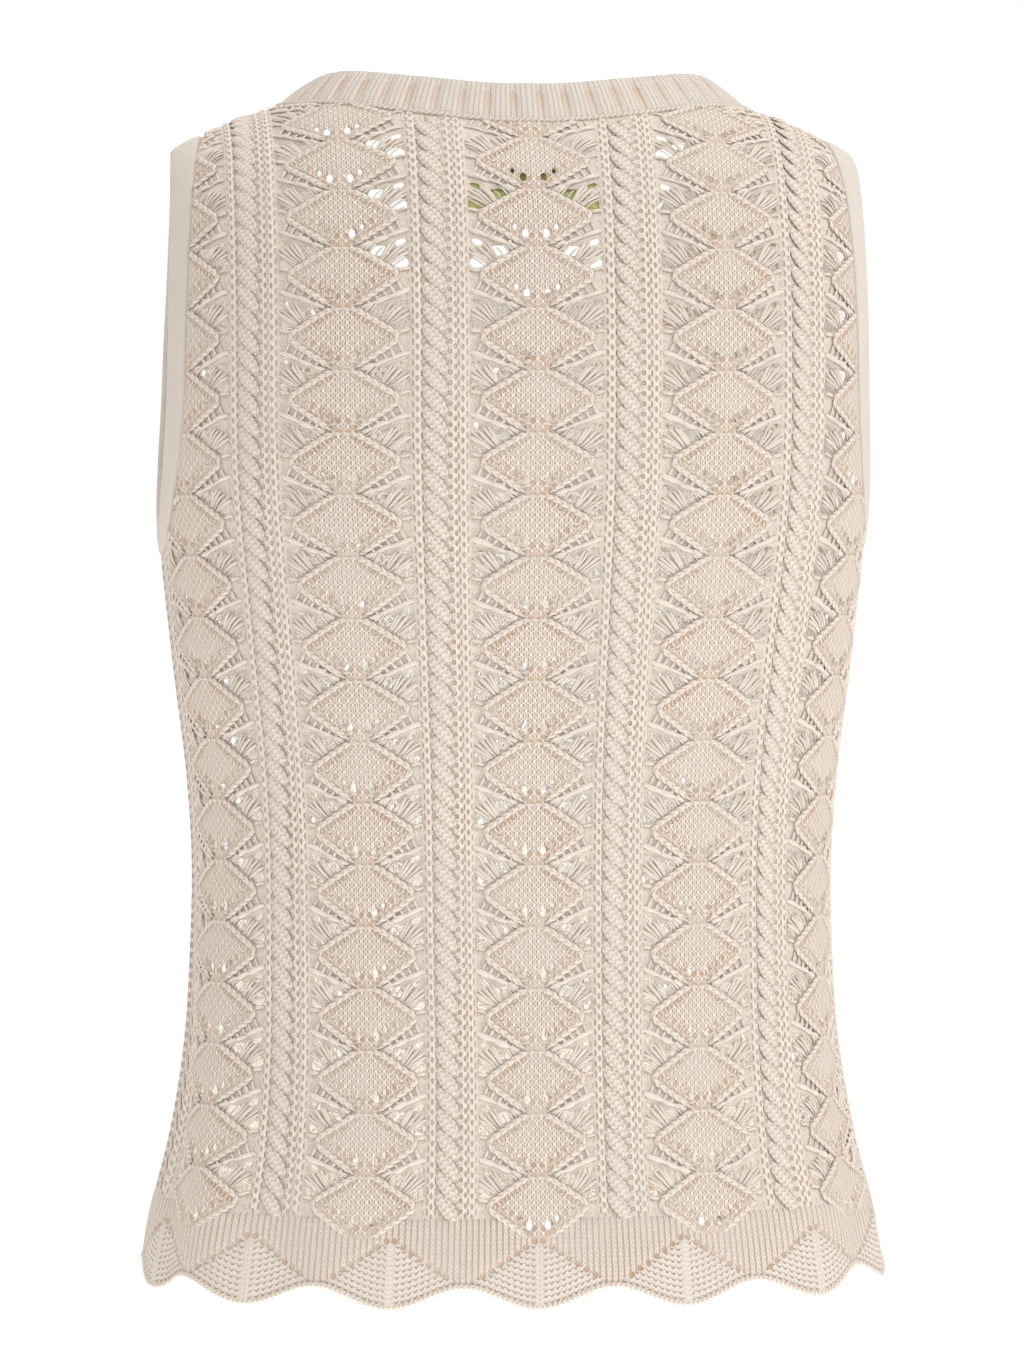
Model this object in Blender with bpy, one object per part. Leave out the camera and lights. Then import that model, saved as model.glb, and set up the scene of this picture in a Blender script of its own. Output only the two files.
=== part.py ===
"""Sleeveless knitted lace top, hollow as if worn: back, front, rib neckband, two armhole bands and a neck label.

The cloth hangs on a plain body form of rounded sections. Lace columns of stacked diamonds run up both
panels with a raised rope between them, and the widest lace gap beside each diamond is cut through.
"""

import math

import bpy
import numpy as np

# Lengths are in metres. +X is the wearer's left, +Y the back and +Z up.
# The origin lies between the shoulders, level with the top of the neckband.
BACK, FRONT = 1, -1
WALL = 0.0020
SEAM_GAP = 0.0003
SECTION_POWER = 2.35
SHOULDER_POWER = 2.2

# Body sections, from below the hem to the shoulders.
HEIGHT, HALF_WIDTH, BACK_DEPTH, FRONT_DEPTH = range(4)
BODY = np.array(
    (
        (-0.560, 0.1700, 0.1150, 0.1210),
        (-0.505, 0.1618, 0.1100, 0.1165),
        (-0.465, 0.1520, 0.1035, 0.1110),
        (-0.425, 0.1456, 0.0970, 0.1060),
        (-0.385, 0.1429, 0.0920, 0.1025),
        (-0.345, 0.1420, 0.0895, 0.1010),
        (-0.305, 0.1444, 0.0900, 0.1030),
        (-0.265, 0.1493, 0.0935, 0.1080),
        (-0.225, 0.1538, 0.0985, 0.1150),
        (-0.185, 0.1580, 0.1030, 0.1195),
        (-0.150, 0.1592, 0.1048, 0.1200),
        (-0.130, 0.1592, 0.1050, 0.1200),
    )
)
# Above these heights the cloth curves in and over the shoulders.
CURVE_START = {BACK: -0.130, FRONT: -0.165}
OUT, LINE_HEIGHT = range(2)
SHOULDER_LINE = np.array(
    (
        (0.000, 0.0070),
        (0.050, 0.0040),
        (0.080, -0.0020),
        (0.104, -0.0120),
        (0.123, -0.0185),
        (0.135, -0.0240),
        (0.145, -0.0300),
        (0.151, -0.0370),
        (0.155, -0.0520),
        (0.158, -0.0800),
        (0.1592, -0.1150),
    )
)

# The knitted pattern: columns are counted from the middle, rows of diamonds from the hem up.
SIDE_COLUMN = 2.6
HEM_NARROWING = 0.12
NARROWING_TOP, NARROWING_BOTTOM = -0.330, -0.520
ROW = 0.0264
FIRST_ROW_HEIGHT = -0.4996
TOP_ROW = 21
LACE_COLUMNS = (-2, -1, 0, 1, 2)
COLUMN_WIDTH = 0.0845
CLEAR_OF_EDGE = 0.010
RELIEF_FADE = 0.008
SNAP = 0.0024

# The cut lines of one repeat: distance from the lace's middle, height over the cloth, and how far,
# in rows, the lower and upper cut lines lie from the waist between two diamonds.
ACROSS, RELIEF, LOWER, UPPER = range(4)
REPEAT = (
    (-0.0270, 0.0000, -0.37, -0.12),
    (-0.0145, 0.0004, -0.15, 0.10),
    (0.0000, 0.0008, 0.00, 0.50),
    (0.0145, 0.0004, -0.15, 0.10),
    (0.0270, 0.0000, -0.37, -0.12),
    (0.0385, 0.0000, -0.36, 0.10),
    (0.0447, 0.0020, -0.25, 0.25),
    (0.0509, 0.0000, -0.36, 0.10),
)
GAP_INNER, GAP_OUTER = 0.0145, 0.0270
ROPE_SWAY = 0.0018

# The hem's scallops.
SCALLOPS = 7
HEM_HEIGHT = -0.5200
SCALLOP_DEPTH = 0.0088

# Soft upright folds: distance along the panel from its middle, half width, how far out, and where it begins.
PANEL, ALONG, SPREAD, LIFT, TOP = range(5)
FOLDS = (
    (BACK, 0.150, 0.017, 0.0035, -0.300),
    (BACK, 0.182, 0.013, -0.0030, -0.330),
    (BACK, 0.112, 0.015, -0.0022, -0.380),
    (BACK, -0.128, 0.018, 0.0024, -0.340),
    (BACK, -0.165, 0.014, -0.0026, -0.300),
    (BACK, -0.060, 0.022, 0.0012, -0.420),
    (FRONT, 0.145, 0.018, 0.0030, -0.320),
    (FRONT, 0.178, 0.013, -0.0024, -0.300),
    (FRONT, -0.150, 0.018, 0.0028, -0.340),
    (FRONT, -0.110, 0.016, -0.0022, -0.400),
    (FRONT, 0.070, 0.022, -0.0014, -0.420),
)
FOLD_FADE = 0.160

# Neckline and neckband.
NECK_HALF_WIDTH = 0.104
NECK_BACK_DEPTH = 0.070
NECK_FRONT_DROP = 0.112
NECK_FRONT_POWER = 2.3
NECKBAND_WIDTH = 0.0200
NECKBAND_UPRIGHT = 0.35
NECKBAND_RIBS = 60
RIB_RELIEF = 0.0009
NECKBAND_SETBACK = 0.0010

# Armholes and their bands.
ARMHOLE_TOP, ARMHOLE_BOTTOM = -0.0255, -0.2100
ARMHOLE_BACK, ARMHOLE_FRONT = 0.050, 0.055
ARMHOLE_POWER = 2.3
ARMBAND_WIDTH = 0.0150
ARMBAND_STEPS = 64
BAND_WALL = 0.0026
BAND_SETBACK = 0.0012

# The label hangs inside the back, just under the neckband.
LABEL_WIDTH, LABEL_HEIGHT, LABEL_THICKNESS = 0.058, 0.033, 0.0010
LABEL_TOP_ROW = 17.95
LABEL_SETBACK = 0.0011

YARN = (0.730, 0.620, 0.520, 1.0)
BAND_YARN = (0.725, 0.625, 0.535, 1.0)
LABEL_GREEN = (0.470, 0.530, 0.190, 1.0)


def eased(table, column, at):
    """A smooth curve through one column of a table, read at its first column."""
    at = np.clip(at, table[0, 0], table[-1, 0])
    slopes = np.gradient(table[:, column], table[:, 0])
    i = np.clip(np.searchsorted(table[:, 0], at, side="right") - 1, 0, len(table) - 2)
    span = table[i + 1, 0] - table[i, 0]
    t = (at - table[i, 0]) / span
    start, end = table[i, column], table[i + 1, column]
    rise = t * t * (3 - 2 * t)
    return (
        start + (end - start) * rise
        + span * slopes[i] * t * (1 - t) ** 2
        - span * slopes[i + 1] * t * t * (1 - t)
    )


def smooth_step(t):
    t = np.clip(t, 0, 1)
    return t * t * (3 - 2 * t)


def depth_column(panel):
    return BACK_DEPTH if panel == BACK else FRONT_DEPTH


def body_value(panel, x, y, z):
    """Under 1 inside the body form, 1 on it and over 1 outside it."""
    start = CURVE_START[panel]
    level = np.minimum(z, start)
    half_width = eased(BODY, HALF_WIDTH, level)
    depth = eased(BODY, depth_column(panel), level)
    share = (np.abs(x) / half_width) ** SECTION_POWER
    reach = depth * (1 - np.clip(share, 0, 0.99999)) ** (1 / SECTION_POWER)
    torso = (np.abs(y) / depth) ** SECTION_POWER + share
    over = np.clip((z - start) / (eased(SHOULDER_LINE, LINE_HEIGHT, np.abs(x)) - start), 0, None)
    curved = (np.abs(y) / reach) ** SHOULDER_POWER + over**SHOULDER_POWER
    return np.where(z <= start, torso, curved)


def outward(panel, points):
    """Unit directions pointing out of the body form at points on it."""
    step = 1e-5
    x, y, z = points[..., 0], points[..., 1], points[..., 2]
    slope = np.stack(
        (
            body_value(panel, x + step, y, z) - body_value(panel, x - step, y, z),
            body_value(panel, x, y + step, z) - body_value(panel, x, y - step, z),
            body_value(panel, x, y, z + step) - body_value(panel, x, y, z - step),
        ),
        axis=-1,
    )
    return slope / np.linalg.norm(slope, axis=-1, keepdims=True)


def depth_at(panel, x, z):
    """How far the body form reaches back or forward at a place seen from behind."""
    start = CURVE_START[panel]
    level = np.minimum(z, start)
    share = np.clip(np.abs(x) / eased(BODY, HALF_WIDTH, level), 0, 1) ** SECTION_POWER
    reach = eased(BODY, depth_column(panel), level) * (1 - share) ** (1 / SECTION_POWER)
    over = (z - start) / (eased(SHOULDER_LINE, LINE_HEIGHT, np.abs(x)) - start)
    over = np.clip(over, 0, 1) ** SHOULDER_POWER
    return reach * (1 - over) ** (1 / SHOULDER_POWER)


def lengths_along(points):
    steps = np.linalg.norm(np.diff(points, axis=0), axis=1)
    return np.concatenate(((0.0,), np.cumsum(steps)))


class Cloth:
    """The base surface of one panel, read by column and row of the knitted pattern."""

    def __init__(self, panel):
        self.panel = panel
        self.columns = np.linspace(-SIDE_COLUMN, SIDE_COLUMN, 209)
        self.rows = np.linspace(-2.4, TOP_ROW + 0.8, 261)
        self.points = np.zeros((len(self.rows), len(self.columns), 3))
        start = CURVE_START[panel]
        self.heights = FIRST_ROW_HEIGHT + self.rows * ROW
        for j, height in enumerate(self.heights):
            self.points[j] = self.level_points(min(height, start))
        self.curve_over_shoulders(start)

    def level_points(self, height):
        """Points round half the body at one height, folds included."""
        angle = np.linspace(0, math.pi / 2, 181)
        depth = eased(BODY, depth_column(self.panel), height)
        section = np.stack(
            (
                eased(BODY, HALF_WIDTH, height) * np.sin(angle) ** (2 / SECTION_POWER),
                depth * np.cos(angle) ** (2 / SECTION_POWER),
            ),
            axis=1,
        )
        along = lengths_along(section)
        share = np.abs(self.columns) / SIDE_COLUMN
        fade = smooth_step((NARROWING_TOP - height) / (NARROWING_TOP - NARROWING_BOTTOM))
        narrow = HEM_NARROWING * fade
        at = along[-1] * share * (1 - narrow + narrow * share**2)
        x = np.interp(at, along, section[:, 0]) * np.sign(self.columns) * self.panel
        y = np.maximum(np.interp(at, along, section[:, 1]), SEAM_GAP / 2) * self.panel
        points = np.stack((x, y, np.full_like(x, height)), axis=1)
        return self.folded(points, at * np.sign(self.columns), height)

    def folded(self, points, at, height):
        lift = np.zeros(len(points))
        for fold in FOLDS:
            if fold[PANEL] == self.panel:
                strength = smooth_step((fold[TOP] - height) / FOLD_FADE)
                lift += fold[LIFT] * strength * np.exp(-(((at - fold[ALONG]) / fold[SPREAD]) ** 2))
        normals = outward(self.panel, points)
        normals[:, 2] = 0
        return points + normals * lift[:, None]

    def curve_over_shoulders(self, start):
        """Bends the rows above the start height along an oval up to the shoulder line and past it."""
        angle = np.linspace(0, 2.6, 261)
        up = np.sin(angle) ** (2 / SHOULDER_POWER)
        back = np.sign(np.cos(angle)) * np.abs(np.cos(angle)) ** (2 / SHOULDER_POWER)
        high = np.nonzero(self.heights > start)[0]
        level = self.level_points(start)
        for i, (x, y, _) in enumerate(level):
            rise = eased(SHOULDER_LINE, LINE_HEIGHT, abs(x)) - start
            profile = np.stack((y * back, start + rise * up), axis=1)
            along = lengths_along(profile)
            at = self.heights[high] - start
            self.points[high, i, 0] = x
            self.points[high, i, 1] = np.interp(at, along, profile[:, 0])
            self.points[high, i, 2] = np.interp(at, along, profile[:, 1])

    def at(self, column, row):
        """Points at any columns and rows, between those of the table."""
        i = (np.clip(column, -SIDE_COLUMN, SIDE_COLUMN) + SIDE_COLUMN) / (self.columns[1] - self.columns[0])
        j = (row - self.rows[0]) / (self.rows[1] - self.rows[0])
        i0 = np.clip(np.floor(i).astype(int), 0, len(self.columns) - 2)
        j0 = np.clip(np.floor(j).astype(int), 0, len(self.rows) - 2)
        u, v = (i - i0)[..., None], (j - j0)[..., None]
        low = self.points[j0, i0] * (1 - u) + self.points[j0, i0 + 1] * u
        high = self.points[j0 + 1, i0] * (1 - u) + self.points[j0 + 1, i0 + 1] * u
        return low * (1 - v) + high * v

    def normal(self, column, row):
        step = 0.03
        across = self.at(column + step, row) - self.at(column - step, row)
        up = self.at(column, row + step) - self.at(column, row - step)
        found = np.cross(up, across)
        found[np.abs(column) >= SIDE_COLUMN - 1e-6, 1] = 0
        return found / np.maximum(np.linalg.norm(found, axis=-1, keepdims=True), 1e-12)

    def hem_row(self, column):
        """The row, below the first, at which the scalloped hem ends."""
        share = column / SIDE_COLUMN
        share = share * (1 - HEM_NARROWING + HEM_NARROWING * share**2)
        tip = 0.5 + 0.5 * np.cos(math.pi * SCALLOPS * share)
        return (HEM_HEIGHT - SCALLOP_DEPTH * tip - FIRST_ROW_HEIGHT) / ROW


def neckline(panel, angle):
    """The neck seam from one shoulder to the other, the angle running from 0 to pi."""
    x = NECK_HALF_WIDTH * np.cos(angle)
    if panel == BACK:
        y = NECK_BACK_DEPTH * np.sin(angle)
        reach = depth_at(BACK, x, np.full_like(x, CURVE_START[BACK]))
        over = (1 - np.clip(y / reach, 0, 1) ** SHOULDER_POWER) ** (1 / SHOULDER_POWER)
        start = CURVE_START[BACK]
        z = start + over * (eased(SHOULDER_LINE, LINE_HEIGHT, np.abs(x)) - start)
        return np.stack((x, y, z), axis=-1)
    x = np.sign(x) * NECK_HALF_WIDTH * np.abs(np.cos(angle)) ** (2 / NECK_FRONT_POWER)
    top = eased(SHOULDER_LINE, LINE_HEIGHT, np.array(NECK_HALF_WIDTH))
    z = top - (top + NECK_FRONT_DROP) * np.sin(angle) ** (2 / NECK_FRONT_POWER)
    return np.stack((x, -depth_at(FRONT, x, z), z), axis=-1)


def armhole_outline(angle):
    """The armhole seam seen from the side, as y and z, starting at the back and going up."""
    half_height = (ARMHOLE_TOP - ARMHOLE_BOTTOM) / 2
    middle = (ARMHOLE_TOP + ARMHOLE_BOTTOM) / 2
    width = np.where(np.cos(angle) > 0, ARMHOLE_BACK, ARMHOLE_FRONT)
    y = width * np.sign(np.cos(angle)) * np.abs(np.cos(angle)) ** (2 / ARMHOLE_POWER)
    z = middle + half_height * np.sign(np.sin(angle)) * np.abs(np.sin(angle)) ** (2 / ARMHOLE_POWER)
    return y, z


def armhole_seam(angle):
    """The armhole seam on the body form, on the wearer's left."""
    y, z = armhole_outline(angle)
    low, high = np.full_like(y, 0.090), np.full_like(y, 0.1592)
    for _ in range(40):
        middle = (low + high) / 2
        inside = np.where(y > 0, body_value(BACK, middle, y, z), body_value(FRONT, middle, y, z)) < 1
        low, high = np.where(inside, middle, low), np.where(inside, high, middle)
    return np.stack(((low + high) / 2, y, z), axis=-1)


def evenly(points, count, closed):
    """The same line with points an equal length apart."""
    if closed:
        points = np.vstack((points, points[:1]))
    along = lengths_along(points)
    at = np.linspace(0, along[-1], count + 1)[: count if closed else count + 1]
    return np.stack([np.interp(at, along, points[:, k]) for k in range(3)], axis=1)


def add_object(name, vertices, faces, material, collection):
    mesh = bpy.data.meshes.new(name)
    mesh.from_pydata([tuple(float(c) for c in v) for v in vertices], [], faces)
    mesh.validate()
    mesh.update()
    mesh.materials.append(material)
    made = bpy.data.objects.new(name, mesh)
    collection.objects.link(made)
    return made


def cloth_material(name, colour, roughness):
    material = bpy.data.materials.new(name)
    material.use_nodes = True
    shader = material.node_tree.nodes["Principled BSDF"]
    shader.inputs["Base Color"].default_value = colour
    shader.inputs["Roughness"].default_value = roughness
    shader.inputs["Metallic"].default_value = 0.0
    return material


def without_loose(vertices, faces):
    used = sorted({v for face in faces for v in face})
    place = {v: k for k, v in enumerate(used)}
    return vertices[used], [tuple(place[v] for v in face) for face in faces]


def column_lines():
    """Every column line of a panel as (column, height over the cloth, lower row, upper row, kind)."""
    lines = [(-SIDE_COLUMN, 0.0, -0.36, 0.10, "side")]
    for lace in (*LACE_COLUMNS[:1], *LACE_COLUMNS):
        for across, relief, lower, upper in REPEAT:
            column = lace + across / COLUMN_WIDTH
            if lace == LACE_COLUMNS[0] and len(lines) < 4:
                column -= 1
            if lines[-1][0] + 0.03 < column < SIDE_COLUMN - 0.03:
                kind = "rope" if relief > 0.001 else "lace"
                lines.append((column, relief, lower, upper, kind))
    lines.append((SIDE_COLUMN, 0.0, -0.36, 0.10, "side"))
    return lines


def panel_grid(cloth):
    """Columns, rows, relief and the lace gaps of a panel's cut lines."""
    lines = column_lines()
    counts = TOP_ROW + 1
    column = np.array([line[0] for line in lines])
    grid_column = np.tile(column, (2 * counts + 1, 1))
    grid_row = np.zeros_like(grid_column)
    relief = np.tile(np.array([line[1] for line in lines]), (2 * counts + 1, 1))
    grid_row[0] = cloth.hem_row(column)
    relief[0] = 0
    for k in range(counts):
        for i, (_, _, lower, upper, kind) in enumerate(lines):
            grid_row[2 * k + 1, i] = k + lower
            grid_row[2 * k + 2, i] = k + upper
            if kind == "rope":
                grid_column[2 * k + 1, i] += ROPE_SWAY / COLUMN_WIDTH
                grid_column[2 * k + 2, i] -= ROPE_SWAY / COLUMN_WIDTH
    gaps = np.zeros((2 * counts, len(lines) - 1), bool)
    for i in range(len(lines) - 1):
        inner_end = min(abs(column[i] - round(column[i])), abs(column[i + 1] - round(column[i + 1])))
        outer_end = max(abs(column[i] - round(column[i])), abs(column[i + 1] - round(column[i + 1])))
        beside = math.isclose(inner_end, GAP_INNER / COLUMN_WIDTH, abs_tol=1e-6)
        if beside and math.isclose(outer_end, GAP_OUTER / COLUMN_WIDTH, abs_tol=1e-6):
            gaps[1::2, i] = True
    gaps[1] = False
    return grid_column, grid_row, relief, gaps


def room(panel, points, above):
    """About how far a point of a panel lies from its neck, armhole and shoulder edges, under 0 outside."""
    x, y, z = points[..., 0], points[..., 1], points[..., 2]
    far = np.full_like(x, 1.0)
    if panel == BACK:
        ring = np.sqrt((x / NECK_HALF_WIDTH) ** 2 + (y / NECK_BACK_DEPTH) ** 2)
        neck = np.where(above, (ring - 1) * NECK_BACK_DEPTH, far)
    else:
        top = eased(SHOULDER_LINE, LINE_HEIGHT, np.array(NECK_HALF_WIDTH))
        low = np.clip(top - z, 0, None) / (top + NECK_FRONT_DROP)
        ring = (np.abs(x) / NECK_HALF_WIDTH) ** NECK_FRONT_POWER + low**NECK_FRONT_POWER
        neck = (ring ** (1 / NECK_FRONT_POWER) - 1) * NECK_HALF_WIDTH
    half_height = (ARMHOLE_TOP - ARMHOLE_BOTTOM) / 2
    middle = (ARMHOLE_TOP + ARMHOLE_BOTTOM) / 2
    width = ARMHOLE_BACK if panel == BACK else ARMHOLE_FRONT
    ring = (np.abs(y) / width) ** ARMHOLE_POWER + (np.abs(z - middle) / half_height) ** ARMHOLE_POWER
    arm = (ring ** (1 / ARMHOLE_POWER) - 1) * width
    arm = np.where(np.abs(x) > 0.1, arm, far)
    shoulder = np.where(above, y * panel - SEAM_GAP / 2, far)
    return np.minimum(np.minimum(neck, arm), shoulder)


class Trimmed:
    """A panel's grid of column and row places, cut off along the panel's edges."""

    def __init__(self, cloth, column, row):
        self.cloth = cloth
        self.shape = column.shape
        self.column, self.row = list(column.ravel()), list(row.ravel())
        self.start = CURVE_START[cloth.panel]
        self.place_corners()
        self.snap()
        self.crossings = {}

    def room_at(self, column, row):
        column, row = np.asarray(column, float), np.asarray(row, float)
        above = FIRST_ROW_HEIGHT + row * ROW > self.start
        return room(self.cloth.panel, self.cloth.at(column, row), above)

    def place_corners(self):
        """Moves the nearest grid place onto each shoulder corner."""
        columns, rows = np.meshgrid(np.linspace(-2.0, 2.0, 801), np.linspace(14.0, TOP_ROW + 0.7, 501))
        points = self.cloth.at(columns, rows)
        here_column, here_row = np.array(self.column), np.array(self.row)
        self.fixed = set()
        seam = armhole_seam(np.array((math.pi / 2,)))[0]
        neck = (NECK_HALF_WIDTH, 0.0, eased(SHOULDER_LINE, LINE_HEIGHT, np.array(NECK_HALF_WIDTH)))
        for side in (-1, 1):
            for corner in (neck, seam):
                target = np.array((corner[0] * side, SEAM_GAP / 2 * self.cloth.panel, corner[2]))
                best = np.argmin(np.sum((points - target) ** 2, axis=-1))
                column, row = float(columns.ravel()[best]), float(rows.ravel()[best])
                apart = ((here_column - column) * COLUMN_WIDTH) ** 2 + ((here_row - row) * ROW) ** 2
                near = int(np.argmin(apart))
                self.column[near], self.row[near] = column, row
                self.fixed.add(near)

    def snap(self):
        """Moves grid places that lie close to an edge onto it."""
        column, row = np.array(self.column), np.array(self.row)
        step = 1e-4
        for _ in range(4):
            value = self.room_at(column, row)
            along = (self.room_at(column + step / COLUMN_WIDTH, row) - value) / step
            up = (self.room_at(column, row + step / ROW) - value) / step
            steep = np.maximum(along**2 + up**2, 1e-6)
            close = (np.abs(value) < SNAP) & (steep > 0.09) & (np.abs(column) < SIDE_COLUMN)
            close[list(self.fixed)] = False
            column = np.where(close, column - value * along / steep / COLUMN_WIDTH, column)
            row = np.where(close, row - value * up / steep / ROW, row)
        self.column, self.row = list(column), list(row)
        self.value = self.room_at(column, row)
        self.value[np.abs(self.value) < 0.0002] = 0.0
        self.value[list(self.fixed)] = 0.0

    def crossing(self, a, b):
        """The place between two grid places at which the panel's edge runs."""
        key = (min(a, b), max(a, b))
        if key not in self.crossings:
            kept, lost = (a, b) if self.value[a] > 0 else (b, a)
            low, high = 0.0, 1.0
            for _ in range(24):
                middle = (low + high) / 2
                c = self.column[kept] + (self.column[lost] - self.column[kept]) * middle
                r = self.row[kept] + (self.row[lost] - self.row[kept]) * middle
                if self.room_at([c], [r])[0] > 0:
                    low = middle
                else:
                    high = middle
            self.column.append(c)
            self.row.append(r)
            self.crossings[key] = len(self.column) - 1
        return self.crossings[key]

    def cell(self, j, i):
        """The part of one cell that lies within the panel, as a list of places."""
        width = self.shape[1]
        ring = (j * width + i, j * width + i + 1, (j + 1) * width + i + 1, (j + 1) * width + i)
        kept = []
        for here, following in zip(ring, ring[1:] + ring[:1]):
            if self.value[here] >= 0:
                kept.append(here)
            if self.value[here] * self.value[following] < 0:
                kept.append(self.crossing(here, following))
        if len(kept) < 3:
            return None
        if max(self.value[k] for k in ring) <= 0:
            middle = self.room_at([np.mean([self.column[k] for k in kept])], [np.mean([self.row[k] for k in kept])])
            if middle[0] < SEAM_GAP:
                return None
        return tuple(kept)


def closed_wall(cells, count):
    """Faces of a closed wall over its cells, with the inner points numbered after the outer ones."""
    edges = {(cell[k - 1], cell[k]) for cell in cells for k in range(len(cell))}
    faces = list(cells)
    faces += [tuple(count + v for v in reversed(cell)) for cell in cells]
    faces += [(b, a, count + a, count + b) for a, b in sorted(edges) if (b, a) not in edges]
    return faces


def make_panel(panel, name, material, collection):
    cloth = Cloth(panel)
    column, row, relief, gaps = panel_grid(cloth)
    trimmed = Trimmed(cloth, column, row)
    width = column.shape[1]
    cells = []
    for j, i in np.ndindex(gaps.shape):
        first = j * width + i
        nearest = min(trimmed.value[[first, first + 1, first + width, first + width + 1]])
        if gaps[j, i] and nearest > CLEAR_OF_EDGE:
            continue
        cell = trimmed.cell(j, i)
        if cell:
            cells.append(cell[::-1])
    columns, rows = np.array(trimmed.column), np.array(trimmed.row)
    lift = np.zeros(len(columns))
    lift[: relief.size] = relief.ravel() * smooth_step(trimmed.value / RELIEF_FADE)
    base, normal = cloth.at(columns, rows), cloth.normal(columns, rows)
    vertices = np.vstack((base + normal * lift[:, None], base - normal * WALL))
    vertices, faces = without_loose(vertices, closed_wall(cells, len(columns)))
    return add_object(name, vertices, faces, material, collection)


def ring_normals(line):
    """Outward directions of the body form along a seam that crosses from the back to the front."""
    back = outward(BACK, line)
    front = outward(FRONT, line)
    return np.where(line[:, 1:2] >= 0, back, front)


def band_directions(line, normals, towards):
    """Directions across a band, square to its seam and to the cloth, pointing into the opening."""
    tangents = np.roll(line, -1, axis=0) - np.roll(line, 1, axis=0)
    across = np.cross(tangents, normals)
    across /= np.linalg.norm(across, axis=1, keepdims=True)
    inward = towards - line
    return across * np.sign(np.sum(across * inward, axis=1))[:, None]


def ring_solid(name, loops, material, collection):
    """A closed ring whose section has one corner for each loop of points, taken in order."""
    count, corners = len(loops[0]), len(loops)
    vertices = np.vstack(loops)
    faces = []
    for c in range(corners):
        following = (c + 1) % corners
        for k in range(count):
            after = (k + 1) % count
            faces.append(
                (c * count + k, c * count + after, following * count + after, following * count + k)
            )
    volume = sum(
        np.dot(vertices[f[0]], np.cross(vertices[f[1]], vertices[f[2]]))
        + np.dot(vertices[f[0]], np.cross(vertices[f[2]], vertices[f[3]]))
        for f in faces
    )
    if volume < 0:
        faces = [face[::-1] for face in faces]
    return add_object(name, vertices, faces, material, collection)


def make_neckband(material, collection):
    half_turn = np.linspace(0, math.pi, 181)
    back = neckline(BACK, half_turn)
    front = neckline(FRONT, half_turn)[::-1]
    line = evenly(np.vstack((back[:-1], front[:-1])), 3 * NECKBAND_RIBS, closed=True)
    normals = ring_normals(line)
    across = band_directions(line, normals, np.array((0.0, 0.0, 0.02)))
    across[:, 2] += NECKBAND_UPRIGHT
    across /= np.linalg.norm(across, axis=1, keepdims=True)
    tangents = np.roll(line, -1, axis=0) - np.roll(line, 1, axis=0)
    out = np.cross(across, tangents)
    out /= np.linalg.norm(out, axis=1, keepdims=True)
    out *= np.sign(np.sum(out * normals, axis=1))[:, None]
    rib = np.where(np.arange(len(line)) % 3 == 0, 0.0, RIB_RELIEF)[:, None]
    start = line + across * NECKBAND_SETBACK
    end = line + across * NECKBAND_WIDTH
    loops = [
        start + out * rib,
        end + out * rib * 0.8 - out * 0.0006,
        end - out * WALL,
        start - out * WALL,
    ]
    return ring_solid("neckband", loops, material, collection)


def make_armband(name, mirror, material, collection):
    turn = np.linspace(0, 2 * math.pi, 361)[:-1]
    line = evenly(armhole_seam(turn), ARMBAND_STEPS, closed=True)
    normals = ring_normals(line)
    middle = np.array((0.1500, 0.0, (ARMHOLE_TOP + ARMHOLE_BOTTOM) / 2))
    across = band_directions(line, normals, middle)
    start = line + across * BAND_SETBACK
    half_way = line + across * ARMBAND_WIDTH * 0.55
    end = line + across * ARMBAND_WIDTH
    outer, inner = normals * 0.0003, normals * (BAND_WALL - 0.0003)
    loops = [start + outer, half_way + outer * 2, end - outer * 2, end - inner * 0.8, start - inner]
    if mirror:
        loops = [loop * np.array((-1.0, 1.0, 1.0)) for loop in loops]
    return ring_solid(name, loops, material, collection)


def make_label(material, collection):
    cloth = Cloth(BACK)
    columns = np.linspace(-0.5, 0.5, 9) * LABEL_WIDTH / COLUMN_WIDTH
    rows = LABEL_TOP_ROW - np.linspace(1, 0, 5) * LABEL_HEIGHT / ROW
    column, row = np.meshgrid(columns, rows)
    base, normal = cloth.at(column, row), cloth.normal(column, row)
    outer = base - normal * (WALL + LABEL_SETBACK)
    inner = outer - normal * LABEL_THICKNESS
    vertices = np.vstack((outer.reshape(-1, 3), inner.reshape(-1, 3)))
    across = len(columns)
    cells = [
        (j * across + i, (j + 1) * across + i, (j + 1) * across + i + 1, j * across + i + 1)
        for j, i in np.ndindex(len(rows) - 1, across - 1)
    ]
    return add_object("neck_label", vertices, closed_wall(cells, column.size), material, collection)


def main():
    for leftover in list(bpy.data.objects):
        bpy.data.objects.remove(leftover)
    garment = bpy.data.collections.new("knitted_lace_top")
    bpy.context.scene.collection.children.link(garment)
    lace = cloth_material("lace_knit", YARN, 0.9)
    bands = cloth_material("band_knit", BAND_YARN, 0.88)
    label = cloth_material("label_weave", LABEL_GREEN, 0.6)
    make_panel(BACK, "back_panel", lace, garment)
    make_panel(FRONT, "front_panel", lace, garment)
    make_neckband(bands, garment)
    make_armband("left_armhole_band", False, bands, garment)
    make_armband("right_armhole_band", True, bands, garment)
    make_label(label, garment)


main()
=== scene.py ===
"""Looks of the sleeveless lace-knit top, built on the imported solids."""

import math

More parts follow.
